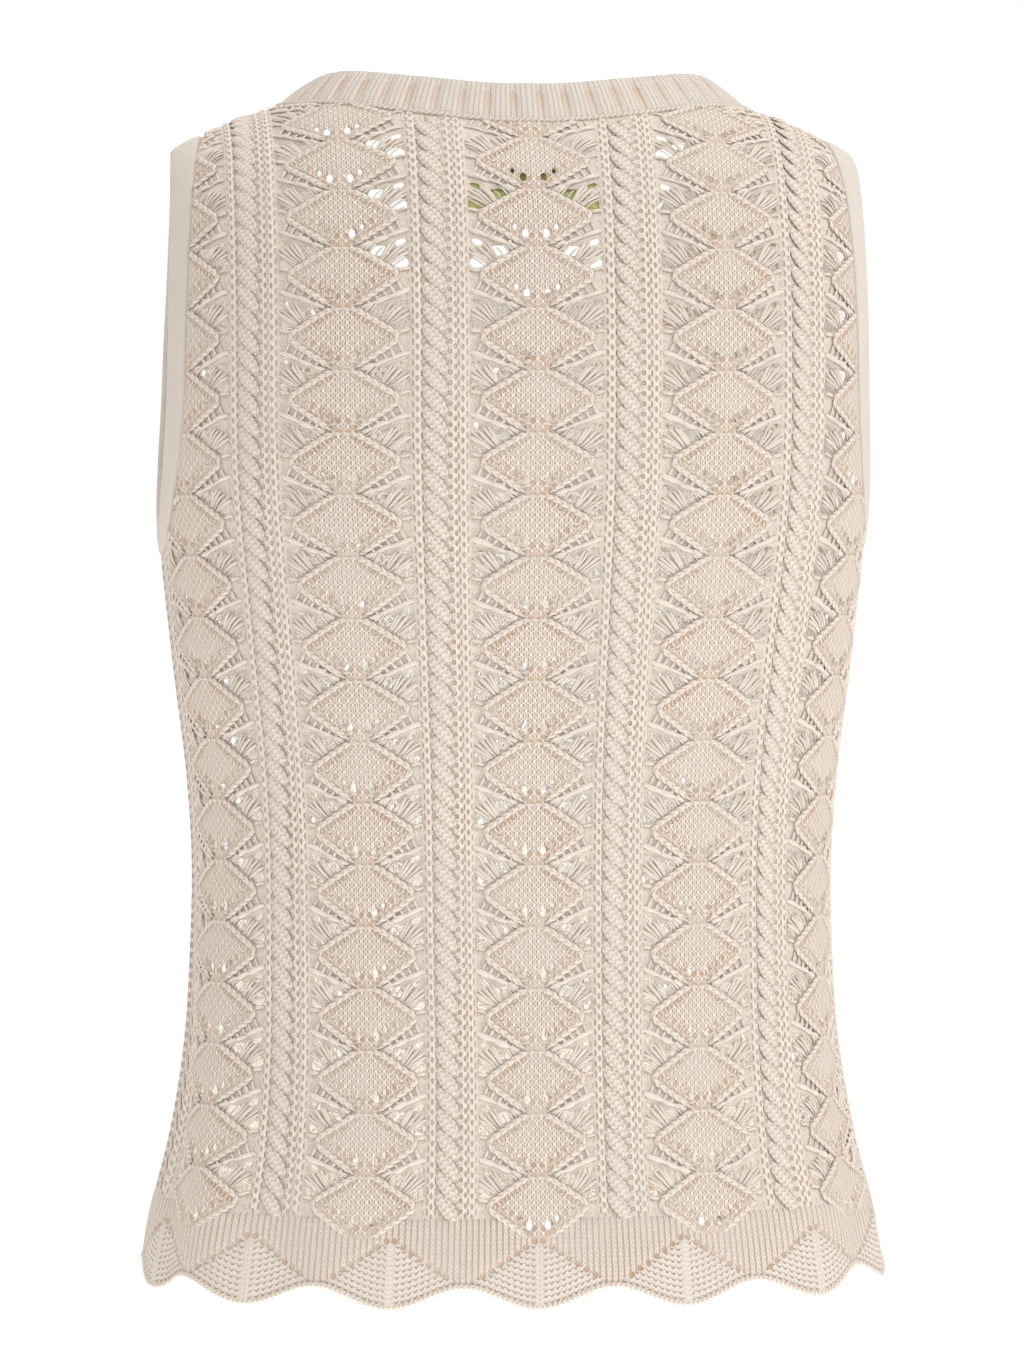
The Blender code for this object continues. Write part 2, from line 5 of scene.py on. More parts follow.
import bpy
import numpy as np
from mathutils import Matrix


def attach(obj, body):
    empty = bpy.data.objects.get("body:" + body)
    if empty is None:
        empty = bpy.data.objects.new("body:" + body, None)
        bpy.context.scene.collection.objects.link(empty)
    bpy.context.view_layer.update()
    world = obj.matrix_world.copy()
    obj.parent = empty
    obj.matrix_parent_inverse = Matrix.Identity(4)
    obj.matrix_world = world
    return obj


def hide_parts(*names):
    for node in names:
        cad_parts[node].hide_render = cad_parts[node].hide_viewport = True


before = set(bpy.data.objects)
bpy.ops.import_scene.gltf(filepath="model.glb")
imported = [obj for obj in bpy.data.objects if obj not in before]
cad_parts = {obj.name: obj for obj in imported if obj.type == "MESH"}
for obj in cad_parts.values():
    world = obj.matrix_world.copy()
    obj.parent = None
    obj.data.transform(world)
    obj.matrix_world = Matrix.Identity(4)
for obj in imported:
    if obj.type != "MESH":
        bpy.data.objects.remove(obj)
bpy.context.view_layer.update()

# The base form, in metres, is the solids' own. +X is the wearer's left, +Y the back and +Z up.
BACK, FRONT = 1, -1
WALL = 0.0020
SEAM_GAP = 0.0003
SECTION_POWER = 2.35
SHOULDER_POWER = 2.2
HEIGHT, HALF_WIDTH, BACK_DEPTH, FRONT_DEPTH = range(4)
BODY = np.array((
    (-0.560, 0.1700, 0.1150, 0.1210), (-0.505, 0.1618, 0.1100, 0.1165), (-0.465, 0.1520, 0.1035, 0.1110),
    (-0.425, 0.1456, 0.0970, 0.1060), (-0.385, 0.1429, 0.0920, 0.1025), (-0.345, 0.1420, 0.0895, 0.1010),
    (-0.305, 0.1444, 0.0900, 0.1030), (-0.265, 0.1493, 0.0935, 0.1080), (-0.225, 0.1538, 0.0985, 0.1150),
    (-0.185, 0.1580, 0.1030, 0.1195), (-0.150, 0.1592, 0.1048, 0.1200), (-0.130, 0.1592, 0.1050, 0.1200),
))
CURVE_START = {BACK: -0.130, FRONT: -0.165}
OUT, LINE_HEIGHT = range(2)
SHOULDER_LINE = np.array((
    (0.000, 0.0070), (0.050, 0.0040), (0.080, -0.0020), (0.104, -0.0120),
    (0.123, -0.0185), (0.135, -0.0240), (0.145, -0.0300), (0.151, -0.0370),
    (0.155, -0.0520), (0.158, -0.0800), (0.1592, -0.1150),
))
SIDE_COLUMN = 2.6
LOWEST_ROW, ROWS_OVER_TOP = -2.4, 0.8
CLOTH_COLUMNS, CLOTH_ROWS = 417, 521
SECTION_POINTS, OVER_POINTS, OVER_ANGLE = 181, 261, 2.6
HEM_NARROWING = 0.12
NARROWING_TOP, NARROWING_BOTTOM = -0.330, -0.520
ROW = 0.0264
FIRST_ROW_HEIGHT = -0.4996
TOP_ROW = 21
COLUMN_WIDTH = 0.0845
SCALLOPS = 7
HEM_HEIGHT = -0.5200
SCALLOP_DEPTH = 0.0088
PANEL, ALONG, SPREAD, LIFT, TOP = range(5)
FOLDS = (
    (BACK, 0.150, 0.017, 0.0035, -0.300), (BACK, 0.182, 0.013, -0.0030, -0.330),
    (BACK, 0.112, 0.015, -0.0022, -0.380), (BACK, -0.128, 0.018, 0.0024, -0.340),
    (BACK, -0.165, 0.014, -0.0026, -0.300), (BACK, -0.060, 0.022, 0.0012, -0.420),
    (FRONT, 0.145, 0.018, 0.0030, -0.320), (FRONT, 0.178, 0.013, -0.0024, -0.300),
    (FRONT, -0.150, 0.018, 0.0028, -0.340), (FRONT, -0.110, 0.016, -0.0022, -0.400),
    (FRONT, 0.070, 0.022, -0.0014, -0.420),
)
FOLD_FADE = 0.160
NECK_HALF_WIDTH = 0.104
NECK_BACK_DEPTH = 0.070
NECK_FRONT_DROP = 0.112
NECK_FRONT_POWER = 2.3
NECKBAND_WIDTH = 0.0200
NECKBAND_UPRIGHT = 0.35
NECKBAND_RIBS = 60
ARMHOLE_TOP, ARMHOLE_BOTTOM = -0.0255, -0.2100
ARMHOLE_MIDDLE = (ARMHOLE_TOP + ARMHOLE_BOTTOM) / 2
ARMHOLE_HALF_HEIGHT = (ARMHOLE_TOP - ARMHOLE_BOTTOM) / 2
ARMHOLE_NEAREST, ARMHOLE_FARTHEST = 0.090, 0.1592
ARMHOLE_BACK, ARMHOLE_FRONT = 0.050, 0.055
ARMHOLE_POWER = 2.3
ARMBAND_WIDTH = 0.0150
LABEL_WIDTH, LABEL_HEIGHT = 0.058, 0.033
LABEL_TOP_ROW = 17.95
LABEL_SETBACK = 0.0011


def eased(table, column, at):
    at = np.clip(at, table[0, 0], table[-1, 0])
    slopes = np.gradient(table[:, column], table[:, 0])
    i = np.clip(np.searchsorted(table[:, 0], at, side="right") - 1, 0, len(table) - 2)
    span = table[i + 1, 0] - table[i, 0]
    t = (at - table[i, 0]) / span
    start, end = table[i, column], table[i + 1, column]
    rise = t * t * (3 - 2 * t)
    return (
        start + (end - start) * rise
        + span * slopes[i] * t * (1 - t) ** 2
        - span * slopes[i + 1] * t * t * (1 - t)
    )


def smooth_step(t):
    t = np.clip(t, 0, 1)
    return t * t * (3 - 2 * t)


def signed_power(value, exponent):
    return np.sign(value) * np.abs(value) ** exponent


def unit(vectors):
    return vectors / np.maximum(np.linalg.norm(vectors, axis=-1, keepdims=True), 1e-12)


def depth_column(panel):
    return BACK_DEPTH if panel == BACK else FRONT_DEPTH


def body_value(panel, x, y, z):
    start = CURVE_START[panel]
    level = np.minimum(z, start)
    half_width = eased(BODY, HALF_WIDTH, level)
    depth = eased(BODY, depth_column(panel), level)
    share = (np.abs(x) / half_width) ** SECTION_POWER
    reach = depth * (1 - np.clip(share, 0, 0.99999)) ** (1 / SECTION_POWER)
    torso = (np.abs(y) / depth) ** SECTION_POWER + share
    over = np.clip((z - start) / (eased(SHOULDER_LINE, LINE_HEIGHT, np.abs(x)) - start), 0, None)
    curved = (np.abs(y) / reach) ** SHOULDER_POWER + over**SHOULDER_POWER
    return np.where(z <= start, torso, curved)


def outward(panel, points):
    slopes = []
    for shift in np.eye(3) * 1e-5:
        ahead, behind = np.moveaxis(points + shift, -1, 0), np.moveaxis(points - shift, -1, 0)
        slopes.append(body_value(panel, *ahead) - body_value(panel, *behind))
    return unit(np.stack(slopes, axis=-1))


def depth_at(panel, x, z):
    start = CURVE_START[panel]
    level = np.minimum(z, start)
    share = np.clip(np.abs(x) / eased(BODY, HALF_WIDTH, level), 0, 1) ** SECTION_POWER
    reach = eased(BODY, depth_column(panel), level) * (1 - share) ** (1 / SECTION_POWER)
    over = (z - start) / (eased(SHOULDER_LINE, LINE_HEIGHT, np.abs(x)) - start)
    over = np.clip(over, 0, 1) ** SHOULDER_POWER
    return reach * (1 - over) ** (1 / SHOULDER_POWER)


def lengths_along(points):
    steps = np.linalg.norm(np.diff(points, axis=0), axis=1)
    return np.concatenate(((0.0,), np.cumsum(steps)))


class Cloth:
    """The base surface of one panel, read by column and row of the knitted pattern."""

    def __init__(self, panel):
        self.panel = panel
        self.columns = np.linspace(-SIDE_COLUMN, SIDE_COLUMN, CLOTH_COLUMNS)
        self.rows = np.linspace(LOWEST_ROW, TOP_ROW + ROWS_OVER_TOP, CLOTH_ROWS)
        self.points = np.zeros((len(self.rows), len(self.columns), 3))
        start = CURVE_START[panel]
        self.heights = FIRST_ROW_HEIGHT + self.rows * ROW
        for j, height in enumerate(self.heights):
            self.points[j] = self.level_points(min(height, start))
        self.curve_over_shoulders(start)

    def level_points(self, height):
        angle = np.linspace(0, math.pi / 2, SECTION_POINTS)
        depth = eased(BODY, depth_column(self.panel), height)
        half_width = eased(BODY, HALF_WIDTH, height)
        share = np.stack((np.sin(angle), np.cos(angle)), axis=1) ** (2 / SECTION_POWER)
        section = share * np.array((half_width, depth))
        along = lengths_along(section)
        share = np.abs(self.columns) / SIDE_COLUMN
        fade = smooth_step((NARROWING_TOP - height) / (NARROWING_TOP - NARROWING_BOTTOM))
        narrow = HEM_NARROWING * fade
        at = along[-1] * share * (1 - narrow + narrow * share**2)
        x = np.interp(at, along, section[:, 0]) * np.sign(self.columns) * self.panel
        y = np.maximum(np.interp(at, along, section[:, 1]), SEAM_GAP / 2) * self.panel
        points = np.stack((x, y, np.full_like(x, height)), axis=1)
        return self.folded(points, at * np.sign(self.columns), height)

    def folded(self, points, at, height):
        lift = np.zeros(len(points))
        for fold in FOLDS:
            if fold[PANEL] == self.panel:
                strength = smooth_step((fold[TOP] - height) / FOLD_FADE)
                lift += fold[LIFT] * strength * np.exp(-(((at - fold[ALONG]) / fold[SPREAD]) ** 2))
        normals = outward(self.panel, points)
        normals[:, 2] = 0
        return points + normals * lift[:, None]

    def curve_over_shoulders(self, start):
        angle = np.linspace(0, OVER_ANGLE, OVER_POINTS)
        up = np.sin(angle) ** (2 / SHOULDER_POWER)
        back = signed_power(np.cos(angle), 2 / SHOULDER_POWER)
        high = np.nonzero(self.heights > start)[0]
        level = self.level_points(start)
        for i, (x, y, _) in enumerate(level):
            rise = eased(SHOULDER_LINE, LINE_HEIGHT, abs(x)) - start
            profile = np.stack((y * back, start + rise * up), axis=1)
            along = lengths_along(profile)
            at = self.heights[high] - start
            self.points[high, i, 0] = x
            self.points[high, i, 1] = np.interp(at, along, profile[:, 0])
            self.points[high, i, 2] = np.interp(at, along, profile[:, 1])

    def at(self, column, row):
        column = np.clip(column, -SIDE_COLUMN, SIDE_COLUMN)
        i = (column + SIDE_COLUMN) / (self.columns[1] - self.columns[0])
        j = (row - self.rows[0]) / (self.rows[1] - self.rows[0])
        i0 = np.clip(np.floor(i).astype(int), 0, len(self.columns) - 2)
        j0 = np.clip(np.floor(j).astype(int), 0, len(self.rows) - 2)
        u, v = (i - i0)[..., None], (j - j0)[..., None]
        low = self.points[j0, i0] * (1 - u) + self.points[j0, i0 + 1] * u
        high = self.points[j0 + 1, i0] * (1 - u) + self.points[j0 + 1, i0 + 1] * u
        return low * (1 - v) + high * v

    def normal(self, column, row):
        step = 0.03
        across = self.at(column + step, row) - self.at(column - step, row)
        up = self.at(column, row + step) - self.at(column, row - step)
        found = np.cross(up, across)
        found[np.abs(column) >= SIDE_COLUMN - 1e-6, 1] = 0
        return unit(found)

    def hem_row(self, column):
        tip = 0.5 + 0.5 * np.cos(math.pi * SCALLOPS * hem_share(column))
        return (HEM_HEIGHT - SCALLOP_DEPTH * tip - FIRST_ROW_HEIGHT) / ROW


def hem_share(column):
    """Place along the hem, from -1 to 1 at the panel's sides."""
    share = column / SIDE_COLUMN
    return share * (1 - HEM_NARROWING + HEM_NARROWING * share**2)


def neckline(panel, angle):
    x = NECK_HALF_WIDTH * np.cos(angle)
    if panel == BACK:
        y = NECK_BACK_DEPTH * np.sin(angle)
        start = CURVE_START[BACK]
        reach = depth_at(BACK, x, np.full_like(x, start))
        over = (1 - np.clip(y / reach, 0, 1) ** SHOULDER_POWER) ** (1 / SHOULDER_POWER)
        z = start + over * (eased(SHOULDER_LINE, LINE_HEIGHT, np.abs(x)) - start)
        return np.stack((x, y, z), axis=-1)
    x = NECK_HALF_WIDTH * signed_power(np.cos(angle), 2 / NECK_FRONT_POWER)
    top = eased(SHOULDER_LINE, LINE_HEIGHT, np.array(NECK_HALF_WIDTH))
    z = top - (top + NECK_FRONT_DROP) * np.sin(angle) ** (2 / NECK_FRONT_POWER)
    return np.stack((x, -depth_at(FRONT, x, z), z), axis=-1)


def armhole_seam(angle):
    width = np.where(np.cos(angle) > 0, ARMHOLE_BACK, ARMHOLE_FRONT)
    y = width * signed_power(np.cos(angle), 2 / ARMHOLE_POWER)
    z = ARMHOLE_MIDDLE + ARMHOLE_HALF_HEIGHT * signed_power(np.sin(angle), 2 / ARMHOLE_POWER)
    low, high = np.full_like(y, ARMHOLE_NEAREST), np.full_like(y, ARMHOLE_FARTHEST)
    for _ in range(40):
        middle_x = (low + high) / 2
        value = np.where(y > 0, body_value(BACK, middle_x, y, z), body_value(FRONT, middle_x, y, z))
        low, high = np.where(value < 1, middle_x, low), np.where(value < 1, high, middle_x)
    return np.stack(((low + high) / 2, y, z), axis=-1)


def evenly(points, count, closed=False):
    if closed:
        points = np.vstack((points, points[:1]))
    along = lengths_along(points)
    at = np.linspace(0, along[-1], count + 1)[:count] if closed else np.linspace(0, along[-1], count)
    return np.stack([np.interp(at, along, points[:, k]) for k in range(points.shape[1])], axis=1)


def room(panel, points, above):
    """About how far a point lies inside its panel's neck, armhole and shoulder edges, in metres."""
    x, y, z = points[..., 0], points[..., 1], points[..., 2]
    far = np.full_like(x, 1.0)
    if panel == BACK:
        ring = np.sqrt((x / NECK_HALF_WIDTH) ** 2 + (y / NECK_BACK_DEPTH) ** 2)
        neck = np.where(above, (ring - 1) * NECK_BACK_DEPTH, far)
    else:
        top = eased(SHOULDER_LINE, LINE_HEIGHT, np.array(NECK_HALF_WIDTH))
        low = np.clip(top - z, 0, None) / (top + NECK_FRONT_DROP)
        ring = (np.abs(x) / NECK_HALF_WIDTH) ** NECK_FRONT_POWER + low**NECK_FRONT_POWER
        neck = (ring ** (1 / NECK_FRONT_POWER) - 1) * NECK_HALF_WIDTH
    width = ARMHOLE_BACK if panel == BACK else ARMHOLE_FRONT
    high = np.abs(z - ARMHOLE_MIDDLE) / ARMHOLE_HALF_HEIGHT
    ring = (np.abs(y) / width) ** ARMHOLE_POWER + high**ARMHOLE_POWER
    arm = (ring ** (1 / ARMHOLE_POWER) - 1) * width
    arm = np.where(np.abs(x) > 0.1, arm, far)
    shoulder = np.where(above, y * panel - SEAM_GAP / 2, far)
    return np.minimum(np.minimum(neck, arm), shoulder)


# The knitted pattern in millimetres. "a" runs to the right from a lace column's middle, as seen from
# outside, and "t" runs down one diamond from 0 at its top to 1 at its foot.
MM = 1000.0
WIDE, TALL = COLUMN_WIDTH * MM, ROW * MM
LACE_HALF = 29.5
TOP_HALF, CORNER_HALF, FOOT_HALF = 5.6, 24.2, 5.0
CORNER_TOP, CORNER_FOOT, FOOT_AT = 0.44, 0.52, 0.95
ACROSS_CELLS, UP_CELLS = 56, 18
# Holes of a fan: middle from the lace column's middle, rows from the bridge, half sizes and rise per mm.
FAN_HOLES = (
    (16.3, -0.058, 4.6, 2.2, -0.06),
    (25.0, -0.240, 4.0, 2.7, -0.10),
    (25.4, 0.085, 2.6, 1.3, 0.36),
)
HOLE_MIDDLE, HOLE_DOWN = 20.75, 0.135
HOLE_ROOM, EYELET_ROOM = 10.0, 5.0
HOLE_FROM_SIDE = 0.09
LONG_POWER, HIGH_POWER, RING_POWER = 2.6, 2.2, 2.4
A, T, HALF_A, HALF_T = range(4)
EYELETS = (
    (4.53, 0.7778, 1.45, 2.2),
    (9.05, 0.6667, 1.05, 1.7),
)
V1_FROM, V1_TO = 30.18, 34.70
ROPE_FROM, ROPE_TO = 34.6, 45.4
PURL_FROM, PURL_TO = 45.27, 49.80
V2_FROM, V2_TO = 49.80, 54.32
EYELET_MIDDLE, EYELET_DOWN = 6.0, 0.72
TWISTS = 3
CABLE_END = 0.36
MOSS, FAN, CHAIN, PURL, ROPE, JERSEY, GARTER = range(7)
APEX_ROW = 0.02
FOOT_ROW = (HEM_HEIGHT - FIRST_ROW_HEIGHT) / ROW
FAN_TALL = (APEX_ROW - FOOT_ROW) * TALL
HALF_SCALLOP = SIDE_COLUMN * WIDE / SCALLOPS
FAN_SIDE = math.hypot(FAN_TALL, HALF_SCALLOP)
# Stitch sizes across and up, and the steps of the pits along the diamonds' edges and the hem fans' sides.
MOSS_STITCH, FAN_STITCH, JERSEY_STITCH, GARTER_STITCH = (2.15, 2.2), (4.5, 2.1), (2.9, 2.0), (2.9, 2.6)
FAN_LEAN = 0.62
ROW_STITCHES = 6
LOWER_STEP, UPPER_STEP, HEM_STEP = 4.35, 2.15, 4.4
UPPER_START = 20
# Heights of the knit over the base form, and how far it sinks at the hem fans' sides and round the holes.
DIAMOND_HIGH, CROWN_HIGH, FAN_LOW, ROPE_LOW, CABLE_LOW = 0.35, 0.35, -0.75, -0.65, -0.2
CABLE_HIGH = ((V1_FROM, V1_TO, 0.7), (PURL_FROM, PURL_TO, 0.25), (V2_FROM, V2_TO, 0.8))
JERSEY_HIGH, GARTER_HIGH, SPINE_HIGH = 0.45, 0.15, 0.6
HEM_GROOVE, HOLE_SINK = 0.7, 0.9
# Corners of the sheet that lie near a hole or an edge are moved onto it.
SNAP_STEP, SNAP_ROUNDS, SNAP_WITHIN, SNAP_FURTHEST, ON_EDGE = 0.02, 3, 0.42, 0.5, 0.06
HALVINGS = 14


def outline_half(t):
    """Half width of the diamond at a height."""
    halves = (TOP_HALF, CORNER_HALF, CORNER_HALF, FOOT_HALF, FOOT_HALF)
    return np.interp(t, (0, CORNER_TOP, CORNER_FOOT, FOOT_AT, 1.0), halves)


def places(column, row, lace=None, diamond=None):
    """Lace index, a, diamond index and t of places of the pattern."""
    if lace is None:
        lace = np.round(column)
    if diamond is None:
        diamond = np.ceil(row)
    a = (lace - column) * WIDE
    return lace, a, diamond, diamond - row


def tip_offset(column):
    """0 below a scallop's tip and 1 midway between two tips."""
    turn = hem_share(column) * SCALLOPS / 2
    return np.abs(turn - np.round(turn)) * 2


class Knit:
    """One panel's cloth as a fine sheet with its lace gaps and eyelets open."""

    def __init__(self, panel):
        self.panel = panel
        self.cloth = Cloth(panel)
        edge = int(SIDE_COLUMN * ACROSS_CELLS)
        columns = np.concatenate(((-SIDE_COLUMN,), np.arange(-edge, edge + 1) / ACROSS_CELLS, (SIDE_COLUMN,)))
        rows = np.arange(-21, int((TOP_ROW + 0.5) * UP_CELLS)) / UP_CELLS
        column, row = np.meshgrid(columns, rows)
        self.shape = column.shape
        self.find_holes()
        column, row, value = self.snapped(column.ravel(), row.ravel())
        self.column, self.row, self.value, self.faces = self.trim(column, row, value)

    def edge_room(self, column, row):
        above = FIRST_ROW_HEIGHT + row * ROW > CURVE_START[self.panel]
        return room(self.panel, self.cloth.at(column, row), above) * MM

    def find_holes(self):
        """Which lace gaps and eyelets lie far enough from the panel's edges, by lace, diamond and side."""
        lace, diamond, side = np.meshgrid(np.arange(-3, 4), np.arange(0, TOP_ROW + 2), (-1, 1), indexing="ij")
        column = lace - side * HOLE_MIDDLE / WIDE
        free = self.edge_room(column, diamond - HOLE_DOWN) > HOLE_ROOM
        whole = (np.abs(lace) <= 2) & (diamond >= 1)
        self.gap_open = free & whole & (np.abs(column) < SIDE_COLUMN - HOLE_FROM_SIDE)
        column = lace - side * EYELET_MIDDLE / WIDE
        self.eyelet_open = whole & (self.edge_room(column, diamond - EYELET_DOWN) > EYELET_ROOM)

    def lookup(self, table, lace, diamond, side):
        i = np.clip(lace.astype(int) + 3, 0, 6)
        j = np.clip(diamond.astype(int), 0, table.shape[1] - 1)
        return table[i, j, (side > 0).astype(int)]

    def hole_room(self, column, row):
        """Distance outside the nearest gap or eyelet, under 0 within one."""
        lace, a, _, _ = places(column, row)
        side = np.where(a >= 0, 1, -1)
        value = np.full_like(a, 9.0)
        far = value.copy()
        diamond = np.round(row + HOLE_DOWN)
        is_open = self.lookup(self.gap_open, lace, diamond, side)
        for middle, from_bridge, long, high, rise in FAN_HOLES:
            dx = np.abs(a) - middle
            dy = (row - diamond - from_bridge) * TALL - rise * dx
            ring = (np.abs(dx) / long) ** LONG_POWER + (np.abs(dy) / high) ** HIGH_POWER
            value = np.minimum(value, np.where(is_open, (ring ** (1 / RING_POWER) - 1) * high, far))
        lace, a, diamond, t = places(column, row)
        open_here = self.lookup(self.eyelet_open, lace, diamond, side)
        for eyelet in EYELETS:
            across = (np.abs(a) - eyelet[A]) / eyelet[HALF_A]
            down = (t - eyelet[T]) * TALL / eyelet[HALF_T]
            hole = (np.sqrt(across**2 + down**2) - 1) * eyelet[HALF_A]
            value = np.minimum(value, np.where(open_here, hole, far))
        return value

    def free(self, column, row):
        hem = (row - self.cloth.hem_row(column)) * TALL
        return np.minimum(np.minimum(self.edge_room(column, row), hem), self.hole_room(column, row))

    def snapped(self, column, row):
        for _ in range(SNAP_ROUNDS):
            value = self.free(column, row)
            along = (self.free(column + SNAP_STEP / WIDE, row) - value) / SNAP_STEP
            up = (self.free(column, row + SNAP_STEP / TALL) - value) / SNAP_STEP
            steep = np.maximum(along**2 + up**2, 1e-6)
            close = (np.abs(value) < SNAP_WITHIN) & (steep > 0.2) & (np.abs(column) < SIDE_COLUMN)
            move = np.where(close, value / steep, 0)
            column = column - np.clip(move * along, -SNAP_FURTHEST, SNAP_FURTHEST) / WIDE
            row = row - np.clip(move * up, -SNAP_FURTHEST, SNAP_FURTHEST) / TALL
        value = self.free(column, row)
        value[np.abs(value) < ON_EDGE] = 0.0
        return column, row, value

    def trim(self, column, row, value):
        high, wide = self.shape
        index = np.arange(high * wide).reshape(high, wide)
        aside = np.stack((index[:, :-1].ravel(), index[:, 1:].ravel()), 1)
        pairs = np.vstack((aside, np.stack((index[:-1].ravel(), index[1:].ravel()), 1)))
        pairs = pairs[value[pairs[:, 0]] * value[pairs[:, 1]] < 0]
        forward = value[pairs[:, 0]] > 0
        kept, lost = np.where(forward, pairs.T, pairs.T[::-1])
        low, top = np.zeros(len(pairs)), np.ones(len(pairs))
        for _ in range(HALVINGS):
            middle = (low + top) / 2
            c = column[kept] + (column[lost] - column[kept]) * middle
            r = row[kept] + (row[lost] - row[kept]) * middle
            inside = self.free(c, r) > 0
            low, top = np.where(inside, middle, low), np.where(inside, top, middle)
        crossing = {(int(a), int(b)): high * wide + k for k, (a, b) in enumerate(pairs)}
        corners = np.stack((index[:-1, :-1], index[:-1, 1:], index[1:, 1:], index[1:, :-1]), -1)
        corners = corners.reshape(-1, 4)
        held = value[corners] >= 0
        whole = held.all(1) & (value[corners].max(1) > 0)
        faces = [tuple(f) for f in corners[whole][:, ::-1].tolist()]
        for ring in corners[held.any(1) & ~held.all(1)].tolist():
            face = []
            for here, following in zip(ring, ring[1:] + ring[:1]):
                if value[here] >= 0:
                    face.append(here)
                key = (min(here, following), max(here, following))
                if key in crossing:
                    face.append(crossing[key])
            if len(face) > 2 and max(value[v] for v in ring) > 0:
                faces.append(tuple(face[::-1]))
        column = np.concatenate((column, c))
        row = np.concatenate((row, r))
        value = np.concatenate((value, np.zeros(len(c))))
        used = np.unique(np.concatenate([np.array(f) for f in faces]))
        place = np.full(len(column), -1)
        place[used] = np.arange(len(used))
        faces = [tuple(int(place[v]) for v in f) for f in faces]
        return column[used], row[used], value[used], faces

    def lift(self, column, row, value):
        """How far the knit stands out of the base form, in millimetres."""
        _, a, _, t = places(column, row)
        half = outline_half(t)
        inside = smooth_step((half - np.abs(a)) / 1.6 + 0.3) * (row > 0)
        crown = np.sqrt(np.clip(1 - (np.abs(a) / 26) ** 2, 0, 1)) * np.sin(math.pi * np.clip(t, 0, 1)) ** 0.6
        relief = inside * (DIAMOND_HIGH + CROWN_HIGH * crown) + (1 - inside) * FAN_LOW
        b = np.where(a < -LACE_HALF, a + WIDE, a)
        cables = np.where((b > V1_TO) & (b < PURL_FROM), ROPE_LOW, CABLE_LOW)
        for start, end, tall in CABLE_HIGH:
            arch = np.sqrt(np.clip(1 - ((b - (start + end) / 2) / ((end - start) / 2)) ** 2, 0, 1))
            cables = np.where((b >= start) & (b < end), tall * arch - 0.1, cables)
        relief = np.where(b > LACE_HALF, cables, relief)
        apex = self.fan_side(column, row)
        spine = SPINE_HIGH * np.exp(-((tip_offset(column) * 8) ** 2))
        low = np.where(apex > 0, GARTER_HIGH + spine, JERSEY_HIGH)
        low = low - HEM_GROOVE * np.exp(-((apex / 1.3) ** 2))
        below = smooth_step((CABLE_END - row) / 0.1) * (1 - inside)
        relief = relief * (1 - below) + below * low
        relief = relief - HOLE_SINK * np.exp(-value / 0.8)
        edge = smooth_step(self.edge_room(column, row) / 5)
        return relief * (0.3 + 0.7 * edge)

    def fan_side(self, column, row):
        """Millimetres inside a hem fan's slanted side, under 0 outside."""
        off = tip_offset(column)
        spread = (APEX_ROW - row) / (APEX_ROW - FOOT_ROW)
        return (spread - off) * HALF_SCALLOP * FAN_TALL / FAN_SIDE

    def kinds(self, column, row):
        lace, a, diamond, t = places(column, row)
        b = np.where(a < -LACE_HALF, a + WIDE, a)
        kind = np.where((np.abs(a) < outline_half(t)) & (row > 0), MOSS, FAN)
        kind = np.where(b > LACE_HALF, PURL, kind)
        kind = np.where((b >= V1_FROM) & (b < V1_TO) | (b >= V2_FROM) & (b < V2_TO), CHAIN, kind)
        kind = np.where((b >= V1_TO) & (b < PURL_FROM), ROPE, kind)
        low = (row < CABLE_END) & (kind != MOSS)
        kind = np.where(low, JERSEY, kind)
        return np.where((self.fan_side(column, row) > 0) & (row < 0), GARTER, kind)

    def stitch_places(self, kind, column, row, face_column, face_row):
        """Stitch counts across and up for face corners, by the kind of face, and places by an edge."""
        _, a, _, t = places(column, row, np.round(face_column), np.ceil(face_row))
        _, face_a, _, face_t = places(face_column, face_row)
        wrap = np.where(face_a < -LACE_HALF, WIDE, 0)
        b, face_b = a + wrap, face_a + wrap
        drop = t * TALL
        reach = np.abs(a)
        u, v = a / MOSS_STITCH[0], -drop / MOSS_STITCH[1]
        low_half = np.where(face_t > 0.5, (1 - t) * TALL, -drop)
        second = face_b >= V2_FROM
        start = np.where(second, V2_FROM, V1_FROM)
        width = np.where(second, V2_TO - V2_FROM, V1_TO - V1_FROM)
        stitches_up = row * ROW_STITCHES
        over_hem = (row - self.cloth.hem_row(column)) * TALL
        fan_across, fan_up = reach + low_half * FAN_LEAN, low_half - reach * FAN_LEAN
        for number, across, up in (
            (FAN, fan_across / FAN_STITCH[0], fan_up / FAN_STITCH[1]),
            (CHAIN, (b - start) / width, stitches_up),
            (PURL, (b - PURL_FROM) / (PURL_TO - PURL_FROM), stitches_up),
            (JERSEY, column * WIDE / JERSEY_STITCH[0], row * TALL / JERSEY_STITCH[1]),
            (GARTER, column * WIDE / GARTER_STITCH[0], over_hem / GARTER_STITCH[1]),
        ):
            u, v = np.where(kind == number, across, u), np.where(kind == number, up, v)
        lower = face_t > (CORNER_TOP + CORNER_FOOT) / 2
        from_t = np.where(lower, CORNER_FOOT, CORNER_TOP)
        end_t = np.where(lower, FOOT_AT, 0.0)
        end_half = np.where(lower, FOOT_HALF, TOP_HALF)
        run_a, run_t = CORNER_HALF - end_half, (end_t - from_t) * TALL
        length = np.hypot(run_a, run_t)
        in_a, in_t = CORNER_HALF - reach, (t - from_t) * TALL
        along = (in_a * run_a + in_t * run_t) / length
        over = (in_a * np.abs(run_t) - in_t * run_a * np.sign(run_t)) / length
        along = np.where(lower, along / LOWER_STEP, UPPER_START + along / UPPER_STEP)
        hem = (kind == JERSEY) | (kind == GARTER)
        off = tip_offset(column) * HALF_SCALLOP
